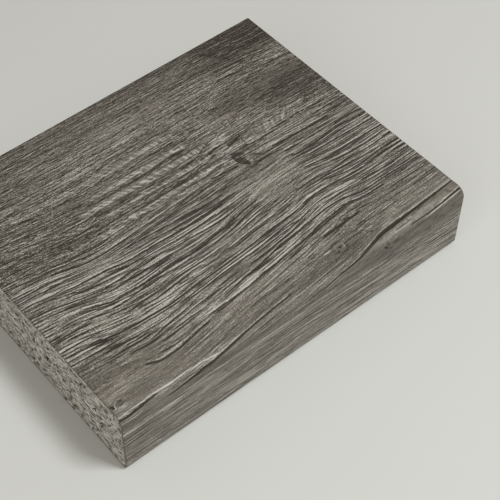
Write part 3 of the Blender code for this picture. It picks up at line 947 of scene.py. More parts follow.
def flat_sheet(columns, rows):
    """A closed flat sheet: a fine grid on its face, and plain strips at its edges and back."""
    bm = bmesh.new()
    bmesh.ops.create_grid(bm, x_segments=columns, y_segments=rows, size=1.0)
    face_edge = 0.999
    ends = [e for e in bm.edges if e.is_boundary
            and abs(e.verts[0].co.x) > face_edge and abs(e.verts[1].co.x) > face_edge]
    lowered = bmesh.ops.extrude_edge_only(bm, edges=ends)["geom"]
    low_verts = [g for g in lowered if isinstance(g, bmesh.types.BMVert)]
    bmesh.ops.translate(bm, vec=(0, 0, -1), verts=low_verts)
    inner = [g for g in lowered if isinstance(g, bmesh.types.BMEdge) and g.is_boundary
             and g.verts[0].co.z < HALFWAY_DOWN and g.verts[1].co.z < HALFWAY_DOWN]
    bmesh.ops.bridge_loops(bm, edges=inner)
    bmesh.ops.holes_fill(bm, edges=[e for e in bm.edges if e.is_boundary], sides=0)
    bmesh.ops.recalc_face_normals(bm, faces=bm.faces)
    # Extruding leaves points and faces in no fixed order, so both are put in one.
    bm.verts.sort(key=lambda vert: place_in_order(vert.co))
    bm.faces.sort(key=lambda face: place_in_order(face.calc_center_median()))
    for face in bm.faces:
        worn = all(v.co.z > HALFWAY_DOWN for v in face.verts) and len(face.verts) == 4
        face.material_index = 0 if worn else 1
        face.smooth = worn
    mesh = bpy.data.meshes.new("decor_laminate_sheet")
    bm.to_mesh(mesh)
    bm.free()
    return mesh


def make_laminate(settings):
    """Embosses the flat sheet, then bends it round the front edge and under the board."""
    rows = sheet_rows()
    mesh = flat_sheet(GRAIN_COLUMNS, rows.size - 1)
    flat = mesh_points(mesh)
    column = np.rint((flat[:, 0] + 1) / 2 * GRAIN_COLUMNS).astype(int)
    row = np.rint((flat[:, 1] + 1) / 2 * (rows.size - 1)).astype(int)
    along = np.linspace(0.0, LENGTH / MM, GRAIN_COLUMNS + 1)
    relief, tone, place, pressed = emboss_sheet(along, rows)

    # The embossing only sinks below the sheet's outer face, and nears a deepest level softly.
    highest_relief = 0.34
    deepest = settings.emboss_depth * 2.2
    sunk = settings.emboss_depth * (highest_relief - relief)
    sunk = deepest * (1 - np.exp(-np.maximum(sunk, 0) / deepest))
    outer = flat[:, 2] > HALFWAY_DOWN
    depth = np.where(outer, sunk[row, column], LAMINATE)
    points = bend_sheet(NEAR_END + along[column] * MM, rows[row] * MM, depth)
    mesh.vertices.foreach_set("co", points.ravel())
    mesh.update()

    add_grain_map(mesh, along[column] / GRAIN_UNIT, place[row, column] / GRAIN_UNIT + GRAIN_START)
    middle_tone = 0.5
    tone_step = 1.0 / 160.0
    add_values(mesh, "tone", np.clip(middle_tone + tone_step * tone[row, column], 0, 1))
    for name, values in pressed.items():
        add_values(mesh, name, values[row, column])
    add_values(mesh, "height", np.clip(relief[row, column], -2, 2))

    mesh.materials.append(decor_finish(settings))
    mesh.materials.append(cut_laminate_finish(settings))
    sheet = add_piece("embossed_laminate", mesh)
    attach(sheet, "root")
    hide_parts("decor_laminate")


# Rows and columns of the core's three cut faces.
CORE_ROWS = 62
END_STATIONS = 230
BACK_STATIONS = 236
BEND_STATIONS = 8
BACK_MARGIN = 0.7 * MM
# Points this near to a cut's plane lie on it.
ON_CUT = 0.01 * MM
# Tearing fades out over this many mm towards a cut's rim. The mean tear is a share of its depth.
WHOLE_RIM = 0.8
MEAN_TEAR = 0.35
SHARP_ANGLE = math.radians(70)

# Pits of the near end that stand out, as (distance from the front, height, half length) in mm.
PITS = [
    (92.4, 8.5, 1.7), (82.4, 16.8, 1.2), (66.6, 20.6, 1.1), (53.3, 30.2, 1.0), (40, 23.5, 1.2),
    (37.4, 33.6, 0.9), (47.4, 12.7, 1.2), (10.8, 24.8, 1.1), (4, 15.6, 1.3), (22, 27, 1.2),
    (30, 18, 1.0), (72, 12, 1.1), (112, 20, 1.3), (60, 9, 0.9), (102, 27, 1.0), (17, 12, 1.0),
    (26, 8, 0.9), (134, 14, 1.2), (124, 25, 1.0),
]


def end_stations():
    """Y of each column across an end: round the front bends, then evenly to the back."""
    inner = TOP_RADIUS - CORE_INSET
    turns = np.linspace(0.0, math.pi / 2, BEND_STATIONS + 1)
    bend = FRONT + TOP_RADIUS - inner * np.cos(turns)
    flat = np.linspace(FRONT + TOP_RADIUS, BACK - BACK_MARGIN, END_STATIONS - BEND_STATIONS)
    return np.concatenate([bend, flat[1:], [BACK]])


def core_height(y):
    """Lowest and highest point of the core's section at each distance from the front."""
    inner_top = TOP_RADIUS - CORE_INSET
    inner_low = BOTTOM_RADIUS - CORE_INSET
    top_reach = np.clip(FRONT + TOP_RADIUS - y, 0, inner_top)
    low_reach = np.clip(FRONT + BOTTOM_RADIUS - y, 0, inner_low)
    high = TOP - TOP_RADIUS + np.sqrt(inner_top**2 - top_reach**2)
    low = UNDERSIDE + BOTTOM_RADIUS - np.sqrt(inner_low**2 - low_reach**2)
    rebate_end = FRONT + RETURN_DEPTH + SEAM_GAP / 2
    return np.where(y > rebate_end, CORE_UNDERSIDE, low), high


def torn_surface(across, up, seed, pits):
    """Values over a saw cut: torn depth, gaps, the coarse middle layer and the chips' own."""
    chips = Mottle(seed)
    gaps = Mottle(seed + 1)
    height = (TOP - UNDERSIDE) / MM
    middle = smooth_step(0.8, 3.5, up) * (1 - smooth_step(height - 4.0, height - 1.3, up))
    warp = 0.9 * chips(across / 9.0, up / 3.0)
    flakes = chips(across / 3.1 + 17, (up + warp) / 0.95)
    crumbs = chips(across / 1.2 + 51, (up + warp) / 0.6 + 9)
    fine = chips(across / 0.8 + 5, up / 0.45 + 31)
    hollow = smooth_step(0.46, 0.80, gaps(across / 2.1, (up + warp) / 1.0)) * middle
    for y, z, half in pits:
        reach = np.hypot((across - y) / half, (up - z - 0.3 * warp) / (0.42 * half))
        hollow = np.maximum(hollow, 1 - smooth_step(0.65, 1.15, reach + 0.25 * fine))
    depth = 0.5 * (0.10 + 0.34 * middle) * (flakes + 0.7 * crumbs) + 0.05 * fine
    return depth, hollow, middle, flakes


def core_block():
    """The plain block: its three saw cuts in one fine band, closed by plain bonded faces."""
    stations = end_stations()
    count = stations.size - 1
    columns = 2 * count + BACK_STATIONS
    bm = bmesh.new()
    bmesh.ops.create_grid(bm, x_segments=columns, y_segments=CORE_ROWS, size=1.0)
    low, high = core_height(stations)
    for vert in bm.verts:
        column = round((vert.co.x + 1) / 2 * columns)
        share = (vert.co.y + 1) / 2
        if column <= count:
            x, y, k = NEAR_END, stations[column], column
        elif column < count + BACK_STATIONS:
            x, y, k = NEAR_END + LENGTH * (column - count) / BACK_STATIONS, BACK, count
        else:
            k = columns - column
            x, y = FAR_END, stations[k]
        vert.co = (x, y, low[k] + share * (high[k] - low[k]))
    # The bonded faces span the whole length, from each station of one end to the other's.
    side = BACK - 0.5 * BACK_MARGIN
    end_verts = {v for v in bm.verts
                 if v.co.y < side and min(v.co.x - NEAR_END, FAR_END - v.co.x) < ON_CUT}
    rims = [e for e in bm.edges if e.is_boundary and end_verts.issuperset(e.verts)]
    bmesh.ops.bridge_loops(bm, edges=rims)
    bmesh.ops.holes_fill(bm, edges=[e for e in bm.edges if e.is_boundary], sides=0)
    bmesh.ops.recalc_face_normals(bm, faces=bm.faces)
    mesh = bpy.data.meshes.new("chipboard_core_cut")
    bm.to_mesh(mesh)
    bm.free()
    return mesh


def make_core(settings):
    """The chipboard block, with torn chips and gaps in its three saw cuts."""
    mesh = core_block()
    points = mesh_points(mesh)
    x, y, z = points.T
    across_end = (y - FRONT) / MM
    along_back = (x - NEAR_END) / MM
    up = (z - UNDERSIDE) / MM
    pit, chip, middle = np.zeros((3, len(points)))
    move = np.zeros_like(points)
    end = (CORE_INSET / MM, (BACK - FRONT) / MM)
    back = (0, LENGTH / MM)
    # For each cut: its points, the place across it, its span, its axis and its way inwards.
    for on_cut, across, span, axis, inward, seed, pits in (
        (x < NEAR_END + ON_CUT, across_end, end, 0, 1.0, SEED + 20, PITS),
        (x > FAR_END - ON_CUT, across_end, end, 0, -1.0, SEED + 30, []),
        (y > BACK - ON_CUT, along_back, back, 1, -1.0, SEED + 40, []),
    ):
        to_rim = np.minimum.reduce([across - span[0], span[1] - across, up - CORE_UNDERSIDE / MM,
                                    (CORE_HIGH.z - UNDERSIDE) / MM - up])
        inside = smooth_step(0.0, WHOLE_RIM, to_rim)
        grain, hollow, core_part, flakes = torn_surface(across, up, seed, pits)
        torn = settings.tear_depth * np.maximum(grain + MEAN_TEAR, 0)
        torn = torn + settings.pit_depth * hollow
        move[:, axis] += np.where(on_cut, inward * inside * torn, 0)
        pit = np.where(on_cut, np.maximum(pit, hollow * inside), pit)
        chip = np.where(on_cut, flakes, chip)
        middle = np.where(on_cut, core_part, middle)
    mesh.vertices.foreach_set("co", (points + move).ravel())
    mesh.update()
    mesh.shade_smooth()
    mesh.set_sharp_from_angle(angle=SHARP_ANGLE)
    for name, values in (("pit", pit), ("chip", chip), ("middle", middle)):
        add_values(mesh, name, values)
    mesh.materials.append(chipboard_finish(settings))
    core = add_piece("saw_cut_chipboard", mesh)
    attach(core, "root")
    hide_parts("chipboard_core")


class Value:
    """One number that varies over a surface. Arithmetic on it adds Math nodes."""

    def __init__(self, tree, socket):
        self.tree = tree
        self.socket = socket

    def _math(self, operation, first, second=None, clamp=False):
        node = self.tree.nodes.new("ShaderNodeMath")
        node.operation = operation
        node.use_clamp = clamp
        for slot, item in zip(node.inputs, (first, second)):
            if isinstance(item, Value):
                self.tree.links.new(item.socket, slot)
            elif item is not None:
                slot.default_value = item
        return Value(self.tree, node.outputs[0])

    def __add__(self, other):
        return self._math("ADD", self, other)

    def __radd__(self, other):
        return self._math("ADD", other, self)

    def __sub__(self, other):
        return self._math("SUBTRACT", self, other)

    def __rsub__(self, other):
        return self._math("SUBTRACT", other, self)

    def __mul__(self, other):
        return self._math("MULTIPLY", self, other)

    def __rmul__(self, other):
        return self._math("MULTIPLY", other, self)

    def __truediv__(self, other):
        return self._math("DIVIDE", self, other)

    def __rtruediv__(self, other):
        return self._math("DIVIDE", other, self)

    def clamped(self):
        return self._math("ADD", self, 0.0, clamp=True)

    def size(self):
        return self._math("ABSOLUTE", self)

    def or_more(self, other):
        return self._math("MAXIMUM", self, other)

    def line(self, half):
        """1 where the value is 0, falling straight to 0 at half on either side."""
        return self._math("SUBTRACT", 1.0, self.size() / half, clamp=True)

    def above(self, low, high):
        """Rises from 0 to 1 between two values."""
        return self._math("MULTIPLY", self - low, 1.0 / (high - low), clamp=True)


class Finish:
    """A material under construction, with its Principled shader."""

    def __init__(self, name):
        self.material = bpy.data.materials.new(name)
        self.material.use_nodes = True
        self.tree = self.material.node_tree
        self.shader = self.tree.nodes["Principled BSDF"]

    def node(self, kind, settings=None, values=None):
        """Adds a node, makes its settings, then sets or links its sockets. Returns the node."""
        node = self.tree.nodes.new(kind)
        for name, value in (settings or {}).items():
            if name == "stops":
                ramp = node.color_ramp
                while len(ramp.elements) < len(value):
                    ramp.elements.new(0.5)
                for element, (position, colour) in zip(ramp.elements, value):
                    element.position = position
                    element.color = (*colour, 1.0)
            else:
                setattr(node, name, value)
        for name, value in (values or {}).items():
            self.feed(node.inputs[name], value)
        return node

    def feed(self, socket, value):
        """Links a value or a socket to an input, or sets the input's own value."""
        if isinstance(value, Value):
            self.tree.links.new(value.socket, socket)
        elif isinstance(value, bpy.types.NodeSocket):
            self.tree.links.new(value, socket)
        else:
            socket.default_value = value

    def value(self, socket):
        return Value(self.tree, socket)

    def attribute(self, name):
        node = self.node("ShaderNodeAttribute", {"attribute_name": name})
        return self.value(node.outputs["Fac"])

    def moved(self, vector, scale, offset=(0.0, 0.0, 0.0)):
        """A vector multiplied by three numbers and moved by another vector."""
        node = self.node("ShaderNodeVectorMath", {"operation": "MULTIPLY_ADD"},
                         {0: vector, 1: scale, 2: offset})
        return node.outputs["Vector"]

    def noise(self, vector, scale, detail, roughness, offset=(0.0, 0.0, 0.0)):
        """Smooth noise from 0 to 1, with its cells per unit of the vector along each axis."""
        node = self.node(
            "ShaderNodeTexNoise", {"noise_dimensions": "3D"},
            {"Vector": self.moved(vector, scale, offset), "Scale": 1.0, "Detail": detail,
             "Roughness": roughness})
        return self.value(node.outputs["Fac"])

    def stroke(self, name, edge):
        """The drawn lines of one kind, 1 along their middles."""
        off = self.attribute(name + "_off") + edge
        return (off.line(1.0) * 1.5).clamped() * self.attribute(name + "_share").above(0.15, 0.80)

    def hairlines(self, vector, scale, half, shift):
        """Thin lines that wander, meet and part, and the same lines moved across the grain to their lit
        side as painted highlights.

        They fade where the noise is nearly level, which would widen them into blots.
        """
        levels = []
        for move in (0.0, shift):
            offset = (0.0, -move * scale[1], 0.37)
            levels.append(self.noise(vector, scale, 0.0, 0.5, offset))
        steep = (levels[0] - levels[1]).size().above(0.015, 0.10)
        return [(level - 0.5).line(half) * steep for level in levels]

    def ramp(self, value, stops):
        node = self.node("ShaderNodeValToRGB", {"stops": stops}, {"Fac": value})
        return node.outputs["Color"]

    def mix(self, factor, first, second):
        """A colour between two colours."""
        node = self.node("ShaderNodeMix", {"data_type": "RGBA"})
        self.feed(node.inputs["Factor"], factor)
        for socket, colour in ((node.inputs[6], first), (node.inputs[7], second)):
            self.feed(socket, colour if isinstance(colour, bpy.types.NodeSocket) else (*colour, 1.0))
        return node.outputs[2]

    def bump(self, height, distance):
        node = self.node("ShaderNodeBump", None, {"Height": height, "Distance": distance})
        node.inputs["Strength"].default_value = 1.0
        self.feed(self.shader.inputs["Normal"], node.outputs["Normal"])

    def surface(self, **inputs):
        """Sets or links the shader's own sockets, named with underscores for spaces."""
        for name, value in inputs.items():
            self.feed(self.shader.inputs[name.replace("_", " ")], value)


# How far the painted highlights lie from their dark lines, towards the lit side, and where the front's
# threads start, both in the grain map's units.
LIT_WALL_SHIFT = 0.005
FRONT_THREADS_START = 0.575


def decor_finish(settings):
    """Matt grey wood print: its tone follows the embossing, with pores and fibres between. Painted shade
    deepens its grooves and painted highlights light their far walls.
    """
    finish = Finish("embossed_grey_wood_laminate")
    grain = finish.node("ShaderNodeUVMap", {"uv_map": "grain"}).outputs["UV"]
    tone = finish.attribute("tone")
    lively = finish.attribute("lively")
    broken = finish.attribute("broken")
    height = finish.attribute("height")
    coarse = finish.attribute("coarse")

    fibre = finish.noise(grain, (7.0, 135.0, 1.0), 2.0, 0.6)
    shreds = finish.noise(grain, (38.0, 160.0, 1.0), 2.0, 0.6)
    dash = finish.noise(grain, (16.0, 175.0, 1.0), 1.0, 0.5)
    grit = finish.noise(grain, (130.0, 190.0, 1.0), 1.0, 0.5)
    threads = finish.noise(grain, (2.6, 75.0, 1.0), 2.0, 0.6)
    strata = finish.noise(grain, (1.7, 34.0, 1.0), 1.0, 0.5)
    pores = dash.above(0.58, 0.72)

    # The drawn dark and pale lines, with edges that the fibres fray. The dark ones are print, deepened
    # as painted shade in the grooves and cracks; the pale ones are print, with painted highlights on the
    # lit side of the grooves and cracks.
    edge = (shreds - 0.5) * 1.2 + (fibre - 0.5) * 0.9 + (grit - 0.5) * 0.6
    cut = finish.stroke("dark", edge)
    rim = finish.stroke("pale", edge)
    # Hairlines among them: long ones, finer ones, and short ones where the grain is broken.
    # Each has the noise that breaks it up, its own scale and half width, and where it shows.
    # Each hairline comes with a painted highlight beside it on its lit side.
    for gate_scale, gate_range, scale, half, shown, dark_gain, highlight_gain in (
        ((4.0, 36.0, 1.0), (0.33, 0.49), (2.2, 42.0, 1.0), 0.125, coarse, 1.70, 1.05),
        ((6.0, 50.0, 1.0), (0.35, 0.51), (3.8, 80.0, 1.0), 0.15, coarse, 1.35, 0.95),
        ((22.0, 70.0, 1.0), (0.42, 0.55), (12.0, 74.0, 1.0), 0.14, broken, 1.35, 0.8),
    ):
        gate = finish.noise(grain, gate_scale, 1.0, 0.5).above(*gate_range)
        lines, rims = finish.hairlines(grain, scale, half, LIT_WALL_SHIFT)
        cut = cut.or_more(lines * gate * shown * dark_gain)
        rim = rim.or_more(rims * gate * shown * highlight_gain)

    # Fibres fray the edges of the raised lines too.
    fray = (fibre - 0.5) * (2.0 - broken * 1.2) + (shreds - 0.5) * (0.8 + broken * 1.0)
    frayed = height + fray * lively
    groove = (0.0 - frayed).above(0.36, 1.15)
    crest = frayed.above(0.20, 0.75)
    change = fray * 0.50 + (grit - 0.5) * (1.05 + broken * 0.3) - pores * 0.20 + 0.02
    change = change + (threads - 0.5) * 0.58
    shade = tone + change * lively - groove * 0.15 + crest * 0.12 + (strata - 0.5) * coarse * 0.62
    # Dark lines deepened by painted shade, pale lines lifted by painted highlights.
    shade = shade - cut * 0.72 + rim * 0.39 + 0.030
    # Fine straight threads run the length of the front face.
    place = finish.value(finish.node("ShaderNodeSeparateXYZ", None, {"Vector": grain}).outputs["Y"])
    front = (FRONT_THREADS_START - place).above(0.0, 0.05)
    front_threads = finish.noise(grain, (1.2, 98.0, 1.0), 2.0, 0.65)
    shade = shade + (front_threads - 0.5) * front * 0.60
    # The torn knot hole is darkened as painted shade, and painted highlights of splinters catching the
    # light show inside it.
    hole = (finish.attribute("hole") + edge * 0.24).above(0.44, 0.62)
    shade = shade * (1.0 - hole * 0.86) + rim * hole * 0.50

    dark, middle, light = settings.dark_grain, settings.middle_grain, settings.light_grain
    stops = [(0.10, tuple(dark)), (0.50, tuple(middle)), (0.90, tuple(light))]
    colour = finish.ramp(shade.clamped(), stops)
    bumps = (fibre * 0.8 - pores * 0.6 + grit * 0.2) * lively - groove * 0.4 + crest * 0.2
    bumps = bumps - cut * 1.1 + rim * 0.4 - hole * 1.5
    finish.bump(bumps, settings.pore_depth)
    rough = settings.roughness + groove * 0.12 - (fibre - 0.5) * 0.10
    finish.surface(Base_Color=colour, Roughness=rough.clamped(), Specular_IOR_Level=0.4)
    return finish.material


def cut_laminate_finish(settings):
    """The sawn edge of the laminate: brown resin-soaked paper in thin layers."""
    finish = Finish("sawn_laminate_edge")
    where = finish.node("ShaderNodeTexCoord").outputs["Object"]
    layers = finish.noise(where, (2500.0, 900.0, 5200.0), 2.0, 0.6)
    blotch = finish.noise(where, (700.0, 700.0, 900.0), 2.0, 0.6)
    shade = (layers * 0.4 + blotch * 0.6).above(0.36, 0.64)
    dark, light = tuple(settings.cut_edge), tuple(min(1.0, 1.9 * c) for c in settings.cut_edge)
    finish.bump(layers, 0.04 * MM)
    finish.surface(Base_Color=finish.mix(shade, dark, light), Roughness=0.62 + 0.2 * blotch)
    return finish.material


def chipboard_finish(settings):
    """Pressed chips: pale and dark flakes lying flat, dust-fine towards both faces, and pits and gaps
    painted dark as shade.
    """
    finish = Finish("sawn_chipboard")
    where = finish.node("ShaderNodeTexCoord").outputs["Object"]
    pit = finish.attribute("pit")
    chip = finish.attribute("chip")
    middle = finish.attribute("middle")
    flakes = finish.node(
        "ShaderNodeTexVoronoi", {"voronoi_dimensions": "3D", "feature": "F1"},
        {"Vector": finish.moved(where, (420.0, 420.0, 1500.0)), "Scale": 1.0, "Randomness": 1.0})
    flake_tone = finish.value(finish.node("ShaderNodeSeparateColor", None,
                                          {"Color": flakes.outputs["Color"]}).outputs[0])
    fibre = finish.noise(where, (700.0, 700.0, 2600.0), 2.0, 0.6)
    dust = finish.noise(where, (2000.0, 2000.0, 3000.0), 1.0, 0.5)
    # Chips lie nearly flat, so their cut edges are long and thin and tilt a little.
    tilt = finish.noise(where, (75.0, 75.0, 160.0), 1.0, 0.5)
    tilted = finish.node("ShaderNodeCombineXYZ", None, {"Z": (tilt - 0.5) * 5.0}).outputs["Vector"]
    strands = finish.noise(where, (150.0, 150.0, 1150.0), 1.0, 0.5, tilted)
    splinter = finish.noise(where, (260.0, 260.0, 1500.0), 1.0, 0.5, tilted)
    voids = finish.noise(where, (330.0, 330.0, 900.0), 1.0, 0.5, tilted)
    strand = (strands - 0.5).line(0.070) * (0.8 + middle * 0.2)
    splint = splinter.above(0.58, 0.68) * (0.8 + middle * 0.2)
    # Gaps among the chips are painted dark as shade.
    gap = (voids + (fibre - 0.5) * 0.35).above(0.585 - middle * 0.015, 0.655 - middle * 0.015)
    shade = 0.49 + (flake_tone - 0.5) * (0.15 + middle * 0.22) + (fibre - 0.5) * 0.95
    shade = shade + (dust - 0.5) * 0.40 - chip * middle * 0.10 + strand * 0.48 + splint * 0.26
    shade = shade - gap * 0.95
    dark, mid, light = settings.dark_chip, settings.middle_chip, settings.light_chip
    stops = [(0.12, tuple(dark)), (0.50, tuple(mid)), (0.88, tuple(light))]
    colour = finish.ramp(shade.clamped(), stops)
    # The pits are painted dark as shade inside them.
    colour = finish.mix((pit * 0.85).clamped(), colour, tuple(settings.pit_shade_colour))
    finish.bump(fibre * 0.6 + flake_tone * 0.3 + strand * 0.4 - gap * 1.2, 0.25 * MM)
    finish.surface(Base_Color=colour, Roughness=0.88, Specular_IOR_Level=0.25)
    return finish.material


def backing_finish(settings):
    """The balancing sheet: brown impregnated paper with a faint felt and sanding marks."""
    finish = Finish("impregnated_backing_paper")
    where = finish.node("ShaderNodeTexCoord").outputs["Object"]
    felt = finish.noise(where, (520.0, 520.0, 520.0), 3.0, 0.6)
    sanding = finish.noise(where, (18.0, 2600.0, 300.0), 2.0, 0.6)
    stain = finish.noise(where, (26.0, 40.0, 40.0), 3.0, 0.5)
    shade = (felt * 0.35 + sanding * 0.35 + stain * 0.5).above(0.40, 0.80)
    dark = tuple(settings.backing_colour)
    light = tuple(min(1.0, 1.55 * c) for c in settings.backing_colour)
    finish.bump(felt * 0.5 + sanding * 0.5, 0.05 * MM)
    finish.surface(Base_Color=finish.mix(shade, dark, light), Roughness=0.66 + 0.18 * felt,
                   Specular_IOR_Level=0.3)
    return finish.material


def finish_backing(settings):
    """The backing sheet's CAD shape is right, so it only gets its finish."""
    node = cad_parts["backing_sheet"]
    for slot in node.material_slots:
        slot.material = backing_finish(settings)


# The photograph's camera: its place, how it is turned, and the crop of its frame.
CAMERA_PLACE = (-0.24012, -0.31819, 0.48705)
CAMERA_TURN = (38.5307, 1.2048, -38.5157)
PICTURE_SIDE = 500
CROP_CENTRE = (194.4, 264.8)
SENSOR = 36.0
LAMP_DISTANCE = 1.3
LAMP_COLOUR = (0.965, 0.985, 1.0)
FLOOR_SQUARES = 8
FLOOR_GAP = 0.02 * MM


def aim_light(name, azimuth, elevation, size, power):
    """A soft square lamp at a direction from the board, given in degrees, facing the board."""
    turn = math.radians(azimuth)
    rise = math.radians(elevation)
    away = Vector((math.cos(rise) * math.cos(turn), math.cos(rise) * math.sin(turn), math.sin(rise)))
    lamp = bpy.data.lights.new(name, "AREA")
    lamp.shape = "SQUARE"
    lamp.size = size
    lamp.energy = power
    lamp.color = LAMP_COLOUR
    light = bpy.data.objects.new(name, lamp)
    light.location = away * LAMP_DISTANCE
    light.rotation_euler = away.to_track_quat("Z", "Y").to_euler()
    bpy.context.scene.collection.objects.link(light)


def make_floor(settings):
    """A broad pale table top, a hair below the board."""
    bm = bmesh.new()
    bmesh.ops.create_grid(bm, x_segments=FLOOR_SQUARES, y_segments=FLOOR_SQUARES,
                          size=settings.floor_size / 2)
    bmesh.ops.translate(bm, vec=(0, 0, UNDERSIDE - FLOOR_GAP), verts=bm.verts)
    mesh = bpy.data.meshes.new("pale_table")
    bm.to_mesh(mesh)
    bm.free()
    finish = Finish("pale_table")
    where = finish.node("ShaderNodeTexCoord").outputs["Object"]
    cloud = finish.noise(where, (3.0, 3.0, 3.0), 2.0, 0.5)
    base = tuple(settings.floor_colour)
    light = tuple(min(1.0, 1.03 * c) for c in base)
    finish.surface(Base_Color=finish.mix(cloud, base, light), Roughness=0.85, Specular_IOR_Level=0.2)
    mesh.materials.append(finish.material)
    floor = add_piece("pale_table", mesh)


def set_stage(settings):
    """Table, lamps, the room's light and the camera."""
    make_floor(settings)
    world = bpy.data.worlds.new("soft_room")
    world.use_nodes = True
    background = world.node_tree.nodes["Background"]
    background.inputs["Color"].default_value = (*settings.room_colour, 1.0)
    background.inputs["Strength"].default_value = settings.room_strength
    scene = bpy.context.scene
    scene.world = world
    aim_light("window_light", settings.key_azimuth, settings.key_elevation, settings.key_size,
              settings.key_power)
    aim_light("wall_light", settings.fill_azimuth, settings.fill_elevation, settings.fill_size,
              settings.fill_power)
    camera = bpy.data.cameras.new("photograph_view")
    camera.sensor_width = SENSOR
    camera.sensor_fit = "HORIZONTAL"
    camera.lens = settings.lens
    camera.shift_x = (PICTURE_SIDE / 2 - CROP_CENTRE[0]) / PICTURE_SIDE
    camera.shift_y = (CROP_CENTRE[1] - PICTURE_SIDE / 2) / PICTURE_SIDE
    camera.clip_start = 0.01
    viewer = bpy.data.objects.new("photograph_view", camera)
    viewer.location = CAMERA_PLACE
    viewer.rotation_euler = [math.radians(a) for a in CAMERA_TURN]
    scene.collection.objects.link(viewer)
    scene.camera = viewer
    scene.view_settings.view_transform = "Standard"


def length_setting(label, use, default, most, least=0.0):
    """A length in metres."""
    return FloatProperty(name=label, description=use, default=default, min=least, max=most,
                         precision=5, unit="LENGTH", subtype="DISTANCE")


def colour_setting(label, use, *default):
    """A linear colour."""
    return FloatVectorProperty(name=label, description=use, default=default, subtype="COLOR",
                               min=0.0, max=1.0)


def number_setting(label, use, default, least, most, unit="NONE", subtype="NONE"):
    """A number, with its unit in its description."""
    return FloatProperty(name=label, description=use, default=default, min=least, max=most,
                         unit=unit, subtype=subtype)


class WorktopLaminateSettings(bpy.types.PropertyGroup):
    """Sizes and colours of the decor laminate and the backing sheet."""

    emboss_depth: length_setting("Embossing depth", "Depth of a full groove", 0.24 * MM, 0.3 * MM)
    pore_depth: length_setting("Pore depth", "Depth of pores and fibres", 0.12 * MM, 1.0 * MM)
    roughness: number_setting("Roughness", "Roughness of the pressed face", 0.50, 0.0, 1.0,
                              subtype="FACTOR")
    dark_grain: colour_setting("Dark grain", "Print in the deepest grooves", 0.025, 0.020, 0.013)
    middle_grain: colour_setting("Middle grain", "The print's main tone", 0.178, 0.160, 0.1325)
    light_grain: colour_setting("Light grain", "Print on the ridges", 0.520, 0.490, 0.440)
    cut_edge: colour_setting("Cut edge", "Sawn edge of the laminate", 0.085, 0.072, 0.056)
    backing_colour: colour_setting("Backing", "Impregnated backing paper", 0.105, 0.078, 0.054)


class WorktopCoreSettings(bpy.types.PropertyGroup):
    """Relief and colours of the chipboard's saw cuts."""

    tear_depth: length_setting("Tear depth", "Depth to which flakes are torn out",
                               0.45 * MM, 2.0 * MM)
    pit_depth: length_setting("Pit depth", "Depth of the gaps among the chips", 1.5 * MM, 4.0 * MM)
    dark_chip: colour_setting("Dark chip", "Darkest chips", 0.110, 0.098, 0.080)
    middle_chip: colour_setting("Middle chip", "Most of the chips", 0.400, 0.372, 0.328)
    light_chip: colour_setting("Light chip", "Palest chips and dust", 0.780, 0.745, 0.680)
    # The inside of the pits is painted shade.
    pit_shade_colour: colour_setting("Pit colour", "Inside of the pits", 0.040, 0.034, 0.027)


class WorktopStageSettings(bpy.types.PropertyGroup):
    """Table, light and camera."""

    floor_size: length_setting("Table size", "Side of the square table", 8.0, 40.0, 1.0)
    floor_colour: colour_setting("Table colour", "Pale table", 0.632, 0.636, 0.605)
    room_colour: colour_setting("Room colour", "Light from all round", 1.0, 0.930, 0.850)
    room_strength: number_setting("Room strength", "Strength of the light all round",
                                  0.335, 0.0, 3.0)
    key_power: number_setting("Window power", "Power of the main light, in watts",
                              10.8, 0.0, 500.0, unit="POWER")
    key_size: length_setting("Window size", "Side of the main light", 0.36, 5.0, 0.01)
    key_azimuth: number_setting("Window azimuth", "Direction of the main light, in degrees",
                                -61.0, -360.0, 360.0)
    key_elevation: number_setting("Window elevation", "Height of the main light, in degrees",
                                  59.5, 0.0, 90.0)
    fill_power: number_setting("Wall power", "Power of the weak light, in watts",
                               3.1, 0.0, 500.0, unit="POWER")
    fill_size: length_setting("Wall size", "Side of the weak light", 0.8, 5.0, 0.01)
    fill_azimuth: number_setting("Wall azimuth", "Direction of the weak light, in degrees",
                                 -155.0, -360.0, 360.0)
    fill_elevation: number_setting("Wall elevation", "Height of the weak light, in degrees",
                                   34.0, 0.0, 90.0)
    lens: number_setting("Lens", "Focal length on a 36 mm sensor", 94.52, 1.0, 500.0,
                         unit="CAMERA")


class WORKTOP_OT_make_laminate(bpy.types.Operator):
    """Make the embossed laminate, bent round the front edge"""

    bl_idname = "worktop.make_laminate"
    bl_label = "Make Laminate"

    def execute(self, context):
        make_laminate(context.scene.worktop_laminate)
        return {"FINISHED"}


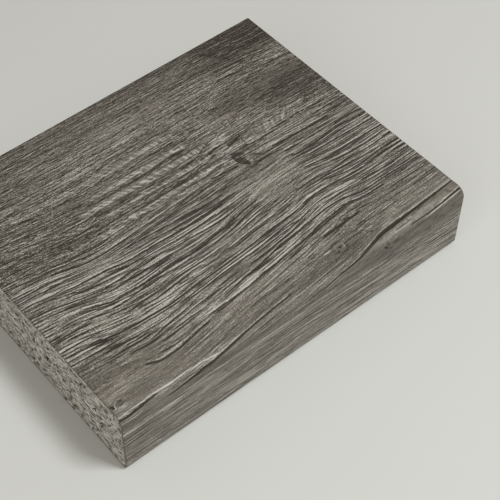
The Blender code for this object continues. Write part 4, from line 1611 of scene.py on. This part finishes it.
class WORKTOP_OT_make_core(bpy.types.Operator):
    """Make the chipboard core with its torn saw cuts"""

    bl_idname = "worktop.make_core"
    bl_label = "Make Core"

    def execute(self, context):
        make_core(context.scene.worktop_core)
        return {"FINISHED"}


class WORKTOP_OT_finish_backing(bpy.types.Operator):
    """Give the backing sheet its finish"""

    bl_idname = "worktop.finish_backing"
    bl_label = "Finish Backing"

    def execute(self, context):
        finish_backing(context.scene.worktop_laminate)
        return {"FINISHED"}


class WORKTOP_OT_set_stage(bpy.types.Operator):
    """Set the pale table, the lamps and the camera"""

    bl_idname = "worktop.set_stage"
    bl_label = "Set Stage"

    def execute(self, context):
        set_stage(context.scene.worktop_stage)
        return {"FINISHED"}


class VIEW3D_PT_worktop(bpy.types.Panel):
    """Lists the steps that dress the worktop"""

    bl_label = "Worktop"
    bl_idname = "VIEW3D_PT_worktop"
    bl_space_type = "VIEW_3D"
    bl_region_type = "UI"
    bl_category = "Worktop"

    def draw(self, context):
        layout = self.layout
        for step in STEPS:
            layout.operator(step)
        for place, group in GROUPS.items():
            box = layout.box()
            for name in group.__annotations__:
                box.prop(getattr(context.scene, place), name)


STEPS = ("worktop.make_laminate", "worktop.make_core", "worktop.finish_backing", "worktop.set_stage")
GROUPS = {
    "worktop_laminate": WorktopLaminateSettings,
    "worktop_core": WorktopCoreSettings,
    "worktop_stage": WorktopStageSettings,
}
CLASSES = (
    *GROUPS.values(),
    WORKTOP_OT_make_laminate,
    WORKTOP_OT_make_core,
    WORKTOP_OT_finish_backing,
    WORKTOP_OT_set_stage,
    VIEW3D_PT_worktop,
)


def register():
    for each in CLASSES:
        bpy.utils.register_class(each)
    for name, group in GROUPS.items():
        setattr(bpy.types.Scene, name, PointerProperty(type=group))


def unregister():
    for name in GROUPS:
        delattr(bpy.types.Scene, name)
    for each in reversed(CLASSES):
        bpy.utils.unregister_class(each)


def main():
    register()
    bpy.ops.worktop.make_laminate()
    bpy.ops.worktop.make_core()
    bpy.ops.worktop.finish_backing()
    bpy.ops.worktop.set_stage()


if __name__ == "__main__":
    main()
